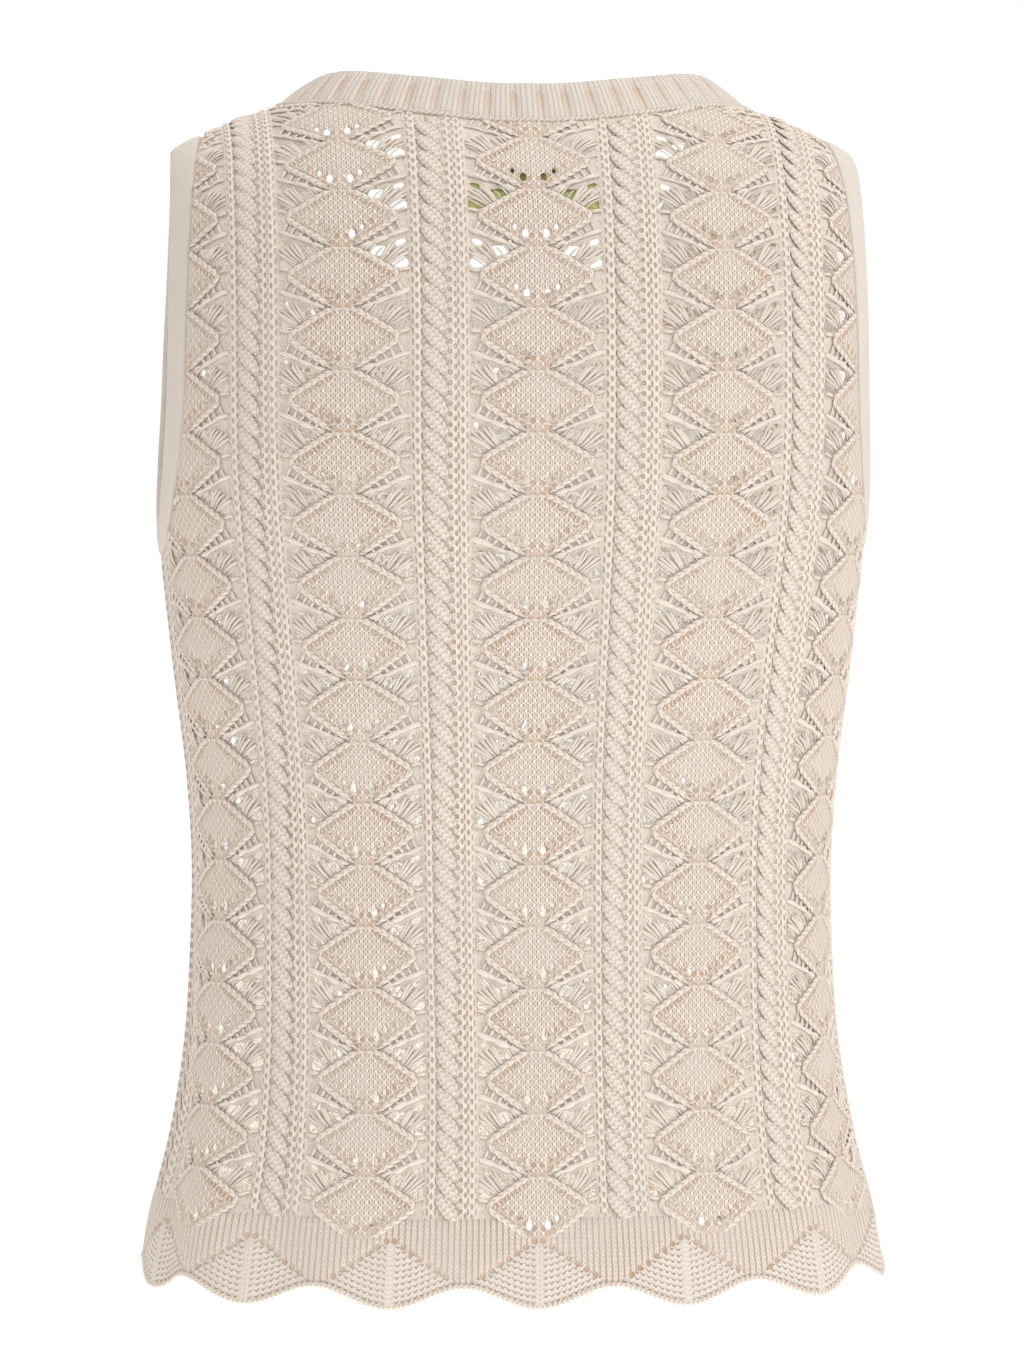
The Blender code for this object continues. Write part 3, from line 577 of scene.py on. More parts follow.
        side = (off * HALF_SCALLOP + (APEX_ROW - row) * TALL * FAN_TALL) / FAN_SIDE / HEM_STEP
        along = np.where(hem, side, along)
        over = np.where(hem, self.fan_side(column, row), over)
        return np.stack((u, v), 1), np.stack((along, over), 1)

    def surface(self, column, row, out_mm):
        out = (np.asarray(out_mm) / MM)[..., None]
        return self.cloth.at(column, row) + self.cloth.normal(column, row) * out


def joined(tree, kind, output, inputs, **settings):
    """An output of a new node; its inputs are numbers, colours or other wires."""
    node = tree.nodes.new(kind)
    for name, value in settings.items():
        setattr(node, name, value)
    for name, value in inputs.items():
        if isinstance(value, Wire):
            tree.links.new(value.socket, node.inputs[name])
        else:
            node.inputs[name].default_value = value
    return Wire(tree, node.outputs[output])


class Wire:
    """A node socket that can be used in sums."""

    def __init__(self, tree, socket):
        self.tree, self.socket = tree, socket

    def math(self, operation, *others):
        inputs = dict(enumerate((self, *others)))
        return joined(self.tree, "ShaderNodeMath", 0, inputs, operation=operation)

    def __add__(self, other):
        return self.math("ADD", other)

    def __sub__(self, other):
        return self.math("SUBTRACT", other)

    def __mul__(self, other):
        return self.math("MULTIPLY", other)

    __radd__, __rmul__ = __add__, __mul__

    def __rsub__(self, other):
        return (self * -1.0) + other

    def fract(self):
        return self.math("FRACT")

    def from_middle(self):
        """0 midway between whole numbers and 1 at each of them."""
        return (self.fract() - 0.5).size() * 2.0

    def size(self):
        return self.math("ABSOLUTE")

    def sin(self, turns=1.0):
        return (self * (2 * math.pi * turns)).math("SINE")

    def cos(self, turns=1.0):
        return (self * (2 * math.pi * turns)).math("COSINE")

    def power(self, exponent):
        return self.math("MAXIMUM", 0.0).math("POWER", exponent)

    def smooth(self, low, high, start=0.0, end=1.0):
        inputs = {"Value": self, "From Min": low, "From Max": high, "To Min": start, "To Max": end}
        return joined(self.tree, "ShaderNodeMapRange", "Result", inputs, interpolation_type="SMOOTHSTEP")


def scaled(colour, share):
    return tuple(c * share for c in colour)


FIBRE = {"Sheen Roughness": 0.6, "Sheen Tint": (1.0, 0.86, 0.72, 1.0), "Specular IOR Level": 0.15}


class Yarn:
    """A knitted material: a stitch height, the shade painted into its cavities, ply and fuzz."""

    def __init__(self, name, base, cavity_shade, roughness=0.92, sheen=0.12):
        self.material = bpy.data.materials.new(name)
        self.material.use_nodes = True
        self.tree = self.material.node_tree
        self.inputs = self.tree.nodes["Principled BSDF"].inputs
        for name, value in (("Roughness", roughness), ("Sheen Weight", sheen), *FIBRE.items()):
            self.inputs[name].default_value = value
        self.base, self.cavity_shade = base, cavity_shade

    def uv(self, name):
        place = joined(self.tree, "ShaderNodeUVMap", 0, {}, uv_map=name)
        return [joined(self.tree, "ShaderNodeSeparateXYZ", k, {0: place}) for k in range(2)]

    def stitches(self, waver):
        """The stitch coordinates, slightly uneven."""
        u, v = self.uv("stitch")
        return u + (self.noise(240, 1.0) - 0.5) * waver, v + (self.noise(190, 1.0) - 0.5) * waver

    def noise(self, scale, detail=2.0, rough=0.6):
        place = joined(self.tree, "ShaderNodeTexCoord", "Object", {})
        inputs = {"Vector": place, "Scale": scale, "Detail": detail, "Roughness": rough}
        return joined(self.tree, "ShaderNodeTexNoise", "Fac", inputs)

    def mixed(self, share, low, high):
        low, high = (value if isinstance(value, Wire) else (*value, 1.0) for value in (low, high))
        return joined(self.tree, "ShaderNodeMix", 2, {"Factor": share, 6: low, 7: high}, data_type="RGBA")

    def finish(self, height, depth, low=0.15, high=0.62, fuzz=0.16):
        """height runs from 0 in the cavities to about 1 on the yarn, and depth is its size in millimetres."""
        fine, ply = self.noise(2600, 3.0), self.noise(900, 2.0)
        tone = self.noise(38, 2.0).smooth(0.3, 0.7)
        total = height * depth + fine * fuzz + ply * (fuzz * 1.5)
        bump = joined(self.tree, "ShaderNodeBump", 0, {"Distance": 1 / MM, "Strength": 1.0, "Height": total})
        self.tree.links.new(bump.socket, self.inputs["Normal"])
        # Painted shade: the colour runs from the cavity shade where the stitch height is low, in slits, pits
        # and grooves, to the base on the yarn.
        share = (height + (fine - 0.5) * 0.35).smooth(low, high)
        colour = self.mixed(share, self.cavity_shade, self.base)
        shaded = self.mixed(tone * 0.5, colour, scaled(self.base, 0.93))
        self.tree.links.new(shaded.socket, self.inputs["Base Color"])
        return self.material


def knit_height(u, v, lean=0.6, middle=0.3, edge=0.7):
    """Columns of V stitches: two leaning legs, with slits between the legs and between the columns."""
    s = u.from_middle()
    leg = bead_height(v - s * lean) * 0.6 + 0.4
    between = 1.0 - s.smooth(0.50, 1.0) * ((v + 0.3).sin() * 0.35 + 0.65) * edge
    return leg * between * s.smooth(0.0, 0.34, 1.0 - middle, 1.0)


def bead_height(p):
    p = p.fract()
    return (p * (1.0 - p) * 4.0).power(0.6)


def spot(x, y, half_x, half_y):
    """0 in a round pit and 1 outside it."""
    x, y = x * (1 / half_x), y * (1 / half_y)
    return (x * x + y * y).smooth(0.35, 1.5)


def pit(along, over, step, inside, half_x, half_y):
    """A row of round pits beside an edge, one to each step; all but the place along it is in millimetres."""
    return spot((along.fract() - 0.5) * step, over - inside, half_x, half_y)


def in_stitch(v):
    """Millimetres over the middle of a tall stitch that begins at a whole number."""
    return v.fract() * TALL_STITCH - TALL_STITCH / 2


TALL_STITCH = TALL / ROW_STITCHES
LOWER_PIT, UPPER_PIT = (4.2, 0.85, 1.45), (2.7, 0.50, 1.1)
FAN_PIT, HEM_PIT = (-3.3, 1.1, 0.8), (0.0, 1.15, 1.3)
CREAM = (0.790, 0.705, 0.618)
# Painted shade: the warm brown the cream takes in its cavities and pits, where shade falls between the
# stitches.
CREAM_CAVITY_SHADE = (0.500, 0.318, 0.200)
# Painted shade: a darker copy of the cream for the bands, toning down the light on their smooth faces.
BAND = (0.715, 0.645, 0.575)
RIB_COLUMNS, RIB_MM = 5, 10.3


def moss_material():
    y = Yarn("lace_moss", CREAM, CREAM_CAVITY_SHADE)
    u, v = y.stitches(0.34)
    along, over = y.uv("edge")
    chequer = u.cos(0.5) * v.cos(0.5)
    purl = chequer.smooth(-0.05, 0.45)
    side = u.from_middle()
    row = v.from_middle()
    slit = side.smooth(0.0, 0.42, 0.18, 1.0).math("MAXIMUM", row.smooth(0.25, 0.75, 1.0, 0.0))
    legs = side.smooth(0.72, 1.0, 1.0, 0.35).math("MAXIMUM", row.smooth(0.45, 0.95))
    height = slit * (legs + (1.0 - legs) * purl) * (purl * 0.48 + 0.52)
    # Rows of pits along the diamond's lower and upper edges, and a thin strip along the cord: each dips the
    # bump and, through the cavity shade, is painted shade; the lower pits stand for small eyelets, the strip
    # is a painted shadow line beside the cord.
    upper = along.smooth(UPPER_START - 5, UPPER_START - 4)
    big = pit(along + 0.2, over, LOWER_STEP, *LOWER_PIT).math("MAXIMUM", upper)
    small = pit(along, over, UPPER_STEP, *UPPER_PIT).math("MAXIMUM", 1.0 - upper)
    rim = over.smooth(1.4, 2.1, 0.45, 1.0)
    return y.finish(height * big * small * rim, 0.9, -0.08, 0.80)


def fan_material():
    # Painted shade: the fan's slits, ladder pits and the pits by the cable column take this warm tan cavity
    # shade.
    y = Yarn("lace_fan", CREAM, (0.74, 0.56, 0.41))
    u, v = y.stitches(0.9)
    along, over = y.uv("edge")
    # Millimetres from the lace column's middle and from the diamond's end, out of the leaning stitch counts.
    reach, low = u * 3.2505 - v * 0.9405, v * 1.5169 + u * 2.0153
    upper = along.smooth(UPPER_START - 5, UPPER_START - 4)
    ladder = pit(along, over, LOWER_STEP, *FAN_PIT).math("MAXIMUM", upper)
    pits = spot(reach - 27.9, in_stitch(low * (1 / TALL_STITCH)), 0.9, 1.2)
    height = (bead_height(v * 2.0) * 0.5 + 0.5) * (ladder * 0.45 + 0.55) * (pits * 0.9 + 0.1)
    return y.finish(height, 0.6, -0.1, 0.62)


def chain_material():
    # Painted shade: a darker copy of the cream, toning down the light on the raised chain columns.
    y = Yarn("chain_stitch", scaled(CREAM, 0.945), CREAM_CAVITY_SHADE)
    u, v = y.stitches(0.08)
    side = u.from_middle()
    legs = bead_height(v - side * 0.55) * 0.45 + 0.55
    middle = spot(side * 2.3, in_stitch(v + 0.35), 0.50, 1.15)
    notch = spot((1.0 - side) * 2.3, in_stitch(v + 0.85), 0.70, 1.35)
    return y.finish(legs * middle * notch, 0.9, -0.22, 0.82)


def purl_material():
    # Painted shade: a slightly darker copy of the cream for the same yarn in the purl columns.
    y = Yarn("purl_stitch", scaled(CREAM, 0.97), CREAM_CAVITY_SHADE)
    u, v = y.stitches(0.10)
    bars = bead_height(v - u * 0.7) * 0.45 + 0.55
    left = spot((u - 0.30) * 4.5, in_stitch(v - 0.20), 0.85, 1.0)
    right = spot((u - 0.80) * 4.5, in_stitch(v + 0.25), 0.55, 1.1)
    return y.finish(bars * left * right, 0.9, -0.22, 0.82)


def rope_material():
    # Painted shade: a darker copy of the cream, toning down the light on the raised rope lobes.
    y = Yarn("cable_rope", scaled(CREAM, 0.955), CREAM_CAVITY_SHADE)
    u, v = y.stitches(0.10)
    side = u.from_middle()
    legs = bead_height(v - side * 0.6) * 0.60 + 0.40
    slits = 1.0 - side.smooth(0.50, 1.0) * (v.sin() * 0.25 + 0.45)
    return y.finish(legs * slits, 0.7, -0.05, 0.84)


def groove_material():
    # Painted shade: the sunken ground beside the ropes takes a darker, warmer base than the cream, with a
    # deeper brown in its cavities.
    y = Yarn("cable_ground", (0.76, 0.66, 0.56), (0.56, 0.38, 0.26))
    u, v = y.stitches(0.2)
    return y.finish(knit_height(u, v, 0.6, 0.2, 0.8), 0.5, 0.0, 0.7)


def hem_eyelets(along, over):
    # Pits for the eyelets up the hem fans' sides: a dip in the bump, and through the cavity shade painted
    # shade where the eyelets show the shaded inside.
    near = along.smooth(6.6, 6.8)
    return pit(along, over, HEM_STEP, *HEM_PIT).math("MAXIMUM", near)


def jersey_material():
    # Painted light: a lighter copy of the cream, brightening the hem jersey to the tone of the garter beside
    # it.
    y = Yarn("hem_jersey", scaled(CREAM, 1.04), CREAM_CAVITY_SHADE)
    u, v = y.stitches(0.10)
    side = (u + v.sin() * 0.06).from_middle()
    p = (v - side * 0.95).fract()
    legs = (p * (1.0 - p) * 4.0).power(0.8) * 0.6 + 0.4
    slits = side.smooth(0.55, 0.95, 1.0, 0.10) * side.smooth(0.0, 0.30, 0.55, 1.0)
    return y.finish(legs * slits * hem_eyelets(*y.uv("edge")), 0.8, 0.0, 0.58)


def garter_material():
    # Painted shade: a darker copy of the cream, toning down the light on the raised garter ridges.
    y = Yarn("hem_garter", scaled(CREAM, 0.90), CREAM_CAVITY_SHADE)
    u, v = y.stitches(0.20)
    along, over = y.uv("edge")
    wave = v + u.cos() * 0.20
    line = wave.from_middle().smooth(0.55, 1.0)
    ridges = 1.0 - line * (u.cos() * 0.30 + 0.62)
    from_spine = (along * (HEM_STEP * HALF_SCALLOP / FAN_SIDE) - over * (FAN_TALL / FAN_SIDE)).size()
    spine = from_spine.smooth(1.5, 2.1, 1.0, 0.0)
    chain = bead_height(v * 1.3 - from_spine * 0.25) * 0.35 + 0.65
    chain = chain * from_spine.smooth(0.0, 0.6, 0.7, 1.0) * from_spine.smooth(1.5, 2.0, 1.0, 0.5)
    height = ridges + (chain - ridges) * spine
    return y.finish(height * hem_eyelets(along, over), 0.8, 0.0, 0.85)


def cord_material():
    # Painted shade: a darker copy of the cream, toning down the light the raised cords catch.
    y = Yarn("outline_cord", scaled(CREAM, 0.965), CREAM_CAVITY_SHADE)
    u, v = y.stitches(0.08)
    across = (u - 0.25).size()
    pair = across.smooth(0.0, 0.05, 0.75, 1.0)
    return y.finish((bead_height(v + across * 3.0) * 0.75 + 0.25) * pair, 0.6, 0.0, 0.85)


def strand_material():
    # Painted shade: the lighter tan the strands take in their cavities and between their plies.
    y = Yarn("ladder_strand", CREAM, (0.73, 0.60, 0.48))
    u, v = y.stitches(0.10)
    return y.finish(bead_height(u * 4.0 + v * 0.25) * 0.6 + 0.4, 0.25, -0.2, 0.75)


def rib_material():
    y = Yarn("neck_rib", scaled(BAND, 1.05), CREAM_CAVITY_SHADE)
    u, v = y.stitches(0.05)
    from_groove = (((u - 0.5) * (1 / RIB_COLUMNS) + 0.5).fract() - 0.5).size() * RIB_MM
    half = (12.9 - v).smooth(0.0, 4.5, -0.3, 2.1)
    inside = (half - from_groove).smooth(-0.30, 0.55)
    # Painted shade: the grooves between the ribs darken further up the band, besides lowering the bump there.
    shade = 1.0 - inside * (v * 0.028 + 0.30)
    return y.finish(knit_height(u, v, 0.6, 0.15, 0.95) * shade, 0.6, 0.0, 0.66)


def band_material():
    # Painted shade: the brown the bands take in the slits between their stitches.
    y = Yarn("band_jersey", scaled(BAND, 0.97), (0.60, 0.47, 0.36))
    u, v = y.stitches(0.06)
    return y.finish(knit_height(u, v, 0.6, 0.10, 0.35), 0.30, 0.0, 0.75, fuzz=0.10)


def label_material():
    # Painted shade: the darker green between the label's threads.
    y = Yarn("label_weave", (0.64, 0.68, 0.28), (0.46, 0.50, 0.17), 0.6, 0.05)
    u, v = y.uv("stitch")
    return y.finish((u.cos(0.5) * v.cos(0.5)) * 0.5 + 0.5, 0.08, 0.0, 0.5, fuzz=0.02)


# Mesh makers.


def add_mesh(name, vertices, faces, materials, uvs=(), kinds=None):
    mesh = bpy.data.meshes.new(name)
    mesh.from_pydata(vertices.tolist(), [], faces)
    for uv_name, values in uvs:
        layer = mesh.uv_layers.new(name=uv_name)
        layer.data.foreach_set("uv", np.ascontiguousarray(values, np.float32).ravel())
    for material in materials:
        mesh.materials.append(material)
    if kinds is not None:
        mesh.polygons.foreach_set("material_index", np.ascontiguousarray(kinds, np.int32))
    mesh.polygons.foreach_set("use_smooth", np.ones(len(mesh.polygons), bool))
    mesh.update()
    made = bpy.data.objects.new(name, mesh)
    bpy.context.scene.collection.objects.link(made)
    return made


def tubes(name, points, normals, wide, thick, sides, material, present, length_unit, around=1):
    """Tubes along rows of points; wide and thick are the section's half sizes along and out of the cloth."""
    count, steps, _ = points.shape
    tangent = np.gradient(points, axis=1)
    across = unit(np.cross(tangent, normals))
    out = unit(np.cross(across, tangent))
    angle = np.arange(sides) / sides * 2 * math.pi
    wide, thick = np.broadcast_to(wide, (count, steps)), np.broadcast_to(thick, (count, steps))
    ring = (
        points[:, :, None]
        + across[:, :, None] * (wide[..., None] * np.cos(angle))[..., None]
        + out[:, :, None] * (thick[..., None] * np.sin(angle))[..., None]
    )
    vertices = ring.reshape(-1, 3)
    index = np.arange(len(vertices)).reshape(count, steps, sides)
    following = np.roll(index, -1, axis=2)
    quads = np.stack((index[:, :-1], following[:, :-1], following[:, 1:], index[:, 1:]), -1)
    along = np.linalg.norm(np.diff(points, axis=1, prepend=points[:, :1]), axis=-1)
    v = np.broadcast_to((np.cumsum(along, axis=1) / length_unit)[:, :, None], index.shape)
    u0 = np.broadcast_to(np.arange(sides) / sides, index.shape)
    u1 = u0 + 1 / sides
    u = np.stack((u0[:, :-1], u1[:, :-1], u1[:, 1:], u0[:, 1:]), -1) * around
    v = np.stack((v[:, :-1], v[:, :-1], v[:, 1:], v[:, 1:]), -1)
    if present is not None:
        keep = present[:, :-1] & present[:, 1:]
        keep = np.broadcast_to(keep[:, :, None], quads.shape[:3])
        quads, u, v = quads[keep], u[keep], v[keep]
    uv = np.stack((u.reshape(-1), v.reshape(-1)), 1)
    faces = quads.reshape(-1, 4)
    used = np.unique(faces)
    place = np.zeros(len(vertices), int)
    place[used] = np.arange(len(used))
    return add_mesh(name, vertices[used], place[faces].tolist(), [material], [("stitch", uv)])


def make_panel(knit, name, materials):
    lift = knit.lift(knit.column, knit.row, knit.value)
    vertices = knit.surface(knit.column, knit.row, lift)
    sizes = np.array([len(f) for f in knit.faces])
    corners = np.concatenate([np.array(f) for f in knit.faces])
    starts = np.concatenate(((0,), np.cumsum(sizes)[:-1]))
    face_column = np.add.reduceat(knit.column[corners], starts) / sizes
    face_row = np.add.reduceat(knit.row[corners], starts) / sizes
    kinds = knit.kinds(face_column, face_row)
    stitch, edge = knit.stitch_places(
        np.repeat(kinds, sizes), knit.column[corners], knit.row[corners],
        np.repeat(face_column, sizes), np.repeat(face_row, sizes),
    )
    return add_mesh(name, vertices, knit.faces, materials, [("stitch", stitch), ("edge", edge)], kinds)


def every(laces, levels):
    """Each lace column with each level, as two columns of numbers."""
    lace, level = np.meshgrid(laces, levels, indexing="ij")
    return lace.reshape(-1, 1), level.reshape(-1, 1)


def on_panel(knit, space, margin, column, row, *others):
    """The lines that are at least partly on the panel, and which of their points are."""
    present = (knit.edge_room(column, row) > space) & (np.abs(column) < SIDE_COLUMN - margin)
    some = present.any(1)
    return [x[some] for x in (present, column, row, *others)]


CORD_POINTS, CORD_LIFT, CORD_UNIT = 47, 0.22, 0.0036
CORD_HALF_WIDTH, CORD_HALF_THICK = 0.0014, 0.0007


def make_cords(knit, name, material):
    """The raised outline round every diamond."""
    corner = np.array(
        (
            (-FOOT_HALF, 0.985), (-CORNER_HALF, CORNER_FOOT), (-CORNER_HALF, CORNER_TOP),
            (-TOP_HALF, 0.035), (TOP_HALF, 0.035),
            (CORNER_HALF, CORNER_TOP), (CORNER_HALF, CORNER_FOOT), (FOOT_HALF, 0.985),
        )
    )
    corner[:, 1] *= TALL
    line = evenly(corner, CORD_POINTS)
    line[1:-1] = (line[:-2] + line[1:-1] * 2 + line[2:]) / 4
    lace, diamond = every(np.arange(-2, 3), np.arange(1, TOP_ROW + 1))
    present, column, row = on_panel(knit, 0.5, 0, lace - line[:, 0] / WIDE, diamond - line[:, 1] / TALL)
    points = knit.surface(column, row, np.full(column.shape, CORD_LIFT))
    step = np.arange(CORD_POINTS)
    taper = smooth_step(np.minimum(step, step[::-1]) / 3 + 0.25)
    slim = np.where(np.abs(line[:, 0]) < TOP_HALF - 1, 0.65, 1.0)
    return tubes(
        name, points, knit.cloth.normal(column, row), CORD_HALF_WIDTH * taper * slim,
        CORD_HALF_THICK * taper * slim, 6, material, present, CORD_UNIT,
    )


# Each yarn of a fan runs from one place to another, as millimetres from the lace column's middle and
# rows from the bridge, with its half width in millimetres and its height over the base form.
STRANDS = (
    (8.0, 0.00, 14.0, 0.07, 1.05, 0.2), (13.0, 0.06, 20.5, 0.17, 1.15, 0.2),
    (19.5, 0.155, 29.4, 0.29, 1.15, 0.1), (10.5, 0.11, 13.0, 0.02, 0.75, 0.1),
    (13.8, 0.19, 16.4, 0.09, 0.75, 0.1), (17.2, 0.27, 19.8, 0.15, 0.80, 0.1),
    (20.6, 0.35, 23.2, 0.20, 0.80, 0.1), (24.0, 0.43, 26.6, 0.25, 0.80, 0.1),
    (8.4, -0.04, 12.6, 0.045, 0.80, 0.0), (9.8, -0.08, 14.2, 0.06, 0.70, 0.1),
    (11.4, -0.12, 15.4, 0.07, 0.55, 0.0), (14.4, -0.16, 17.6, -0.02, 0.40, 0.1),
    (17.0, -0.205, 21.6, 0.07, 0.80, 0.2), (17.6, -0.22, 23.4, 0.05, 0.80, 0.1),
    (18.9, -0.245, 26.0, 0.02, 0.80, 0.2), (20.0, -0.27, 28.8, -0.02, 0.70, 0.1),
    (20.8, -0.285, 29.4, -0.09, 0.75, 0.2), (22.3, -0.33, 28.8, -0.17, 0.45, 0.1),
    (24.4, -0.40, 29.5, -0.36, 0.80, 0.1), (1.6, 0.14, 6.6, 0.10, 0.55, 0.2),
)
STRAND_POINTS, STRAND_UNIT = 6, 0.002
STRAND_SEEDS = {BACK: 7, FRONT: 11}


def make_strands(knit, name, material):
    """Loose yarn that fans across the lace gaps beside each diamond's top."""
    random = np.random.default_rng(STRAND_SEEDS[knit.panel])
    share = np.linspace(0, 1, STRAND_POINTS)
    arch = np.sin(math.pi * share)
    column, row, out, width = [], [], [], []
    for lace in range(-2, 3):
        for diamond in range(1, TOP_ROW):
            for side in (-1, 1):
                for a0, r0, a1, r1, half, lift in STRANDS:
                    jitter = random.normal(0, 1, 4)
                    a = a0 + (a1 - a0) * share
                    column.append(lace - side * a / WIDE)
                    rise = (r1 + 0.010 * jitter[1] - r0) * share
                    row.append(diamond + r0 + rise + (0.008 + 0.008 * jitter[0]) * arch)
                    out.append(lift - 0.75 + 0.65 * arch + 0.10 * jitter[2])
                    width.append(half * (1 + 0.12 * jitter[3]) * (0.7 + 0.3 * arch))
    lines = map(np.array, (column, row, out, width))
    present, column, row, out, width = on_panel(knit, 0.5, 0.01, *lines)
    points, normals = knit.surface(column, row, out), knit.cloth.normal(column, row)
    return tubes(name, points, normals, width / MM, width / MM * 0.75, 4, material, present, STRAND_UNIT)


LOBE_POINTS, LOBE_UNIT, LOBE_COLUMNS = 10, 0.0024, 6
LOBE_SWING, LOBE_TALL = 3.75, 13.6
LOBE_HALF_WIDTH, LOBE_HALF_THICK = 3.35, 0.75


def make_ropes(knit, name, material):
    """The two-strand ropes between the lace columns, each crossing one lobe."""
    share = np.linspace(0, 1, LOBE_POINTS)
    arch = np.sin(math.pi * share)
    a = (ROPE_FROM + ROPE_TO) / 2 - LOBE_SWING * np.cos(math.pi * share)
    down = (share - 0.5) * LOBE_TALL / TALL
    lace, crossing = every(np.arange(-2, 4), np.arange(1, TOP_ROW * TWISTS))
    lines = lace - a / WIDE, (crossing + 0.5) / TWISTS - down
    present, column, row = on_panel(knit, 1.0, 0.015, *lines)
    calm = 0.35 + 0.65 * smooth_step((SIDE_COLUMN - np.abs(column)) / 0.4)
    near = 0.25 + 0.75 * smooth_step((knit.edge_room(column, row) - 0.6) / 3.0)
    points = knit.surface(column, row, -0.85 + 1.05 * np.sin(math.pi * share**1.1) ** 0.7 * calm * near)
    normals = knit.cloth.normal(column, row)
    swell = (0.58 + 0.42 * arch**0.7) * calm**0.3 * near
    return tubes(
        name, points, normals, LOBE_HALF_WIDTH * swell / MM, LOBE_HALF_THICK * swell / MM,
        8, material, present, LOBE_UNIT, LOBE_COLUMNS,
    )


HEM_ROLL_POINTS, HEM_ROLL_RADIUS, HEM_ROLL_UNIT = 420, 0.0013, 0.0022


def make_hem_roll(knit, name, material):
    column = np.linspace(-SIDE_COLUMN, SIDE_COLUMN, HEM_ROLL_POINTS)[None]
    row = knit.cloth.hem_row(column) + 0.02
    points, normals = knit.surface(column, row, np.full(column.shape, -0.5)), knit.cloth.normal(column, row)
    return tubes(name, points, normals, HEM_ROLL_RADIUS, HEM_ROLL_RADIUS, 8, material, None, HEM_ROLL_UNIT)


def ring_normals(line):
    return np.where(line[:, 1:2] >= 0, outward(BACK, line), outward(FRONT, line))


def ring_tangents(line):
    return np.roll(line, -1, axis=0) - np.roll(line, 1, axis=0)


def band_directions(line, normals, towards):
    across = unit(np.cross(ring_tangents(line), normals))
    return across * np.sign(np.sum(across * (towards - line), axis=1))[:, None]


def round_section(rings, length_unit):
    """Stitch counts round a ring's section, back to where it starts."""
    first = rings[:, 0]
    steps = np.linalg.norm(np.roll(first, -1, 0) - first, axis=1)
    return np.concatenate(((0,), np.cumsum(steps))) / length_unit


def ring_mesh(name, rings, uv_u, uv_v, material, turned=False):
    """A closed ring from loops of points laid out round its section; turned swaps u and v."""
    loops, count, _ = rings.shape
    index = np.arange(loops * count).reshape(loops, count)
    quads = np.stack(
        (index, np.roll(index, -1, 1), np.roll(np.roll(index, -1, 1), -1, 0), np.roll(index, -1, 0)), -1
    )
    u = np.stack((uv_u[None, :-1], uv_u[None, 1:], uv_u[None, 1:], uv_u[None, :-1]), -1)
    u = np.broadcast_to(u, quads.shape)
    v = np.stack((uv_v[:-1, None], uv_v[:-1, None], uv_v[1:, None], uv_v[1:, None]), -1)
    v = np.broadcast_to(v, quads.shape)
    flat = rings.reshape(-1, 3)
    faces = quads.reshape(-1, 4)
    a, b, c, d = (flat[faces[:, k]] for k in range(4))
    volume = np.sum(a * np.cross(b, c)) + np.sum(a * np.cross(c, d))
    uv = np.stack((v.reshape(-1), u.reshape(-1)) if turned else (u.reshape(-1), v.reshape(-1)), 1)
    if volume < 0:
        faces = faces[:, ::-1]
        uv = uv.reshape(-1, 4, 2)[:, ::-1].reshape(-1, 2)
    return add_mesh(name, flat, faces.tolist(), [material], [("stitch", uv)])


RIB_POINTS, GROOVE_WIDTH, BAND_INSET = 10, 0.16, 0.0004
NECK_UNIT, NECK_SEAM_RADIUS, NECK_SEAM_UNIT = 0.0014, 0.0010, 0.0027


def make_neckband(material, seam_material):
    half_turn = np.linspace(0, math.pi, 361)
    back, front = neckline(BACK, half_turn), neckline(FRONT, half_turn)[::-1]
    count = NECKBAND_RIBS * RIB_POINTS
    line = evenly(np.vstack((back[:-1], front[:-1])), count, closed=True)
    normals = ring_normals(line)
    across = band_directions(line, normals, np.array((0.0, 0.0, 0.02)))
    across[:, 2] += NECKBAND_UPRIGHT
    across = unit(across)
    out = unit(np.cross(across, ring_tangents(line)))
    out *= np.sign(np.sum(out * normals, axis=1))[:, None]
    turn = np.arange(count) / RIB_POINTS
    groove = np.exp(-((((turn + 0.5) % 1.0 - 0.5) / GROOVE_WIDTH) ** 2))[:, None]

    def row_at(share):
        return line + across * (BAND_INSET + share * (NECKBAND_WIDTH - BAND_INSET / 2))

    rings = []
    for share in np.linspace(0, 1, 13):
        swell = 0.9 * math.sin(math.pi * min(1, share * 1.02)) ** 0.5
        relief = (0.0011 * swell - 0.0021 * groove * (0.25 + 0.75 * swell)) - 0.0006 * share
        rings.append(row_at(share) + out * relief)
    rings.append(line + across * (NECKBAND_WIDTH + 0.0008) + out * -0.0014)
    for share in np.linspace(1, 0, 7):
        rings.append(row_at(share) - out * (0.0026 + 0.0004 * share))
    rings = np.array(rings)
    u = np.arange(count + 1) / RIB_POINTS * RIB_COLUMNS + 0.5
    band = ring_mesh("knit_neckband", rings, u, round_section(rings, NECK_UNIT), material)
    # The beaded joining row along the band.
    normals = np.vstack((normals, normals[:2]))
    line = np.vstack((line, line[:2])) + normals * 0.0002
    size = NECK_SEAM_RADIUS, NECK_SEAM_RADIUS, 6
    return band, tubes("neck_seam", line[None], normals[None], *size, seam_material, None, NECK_SEAM_UNIT)


ARMBAND_POINTS, ARMBAND_INSET, ARMBAND_UNITS = 360, 0.0002, (0.0014, 0.0013)
ARM_CENTRE = (0.1500, 0.0, ARMHOLE_MIDDLE)


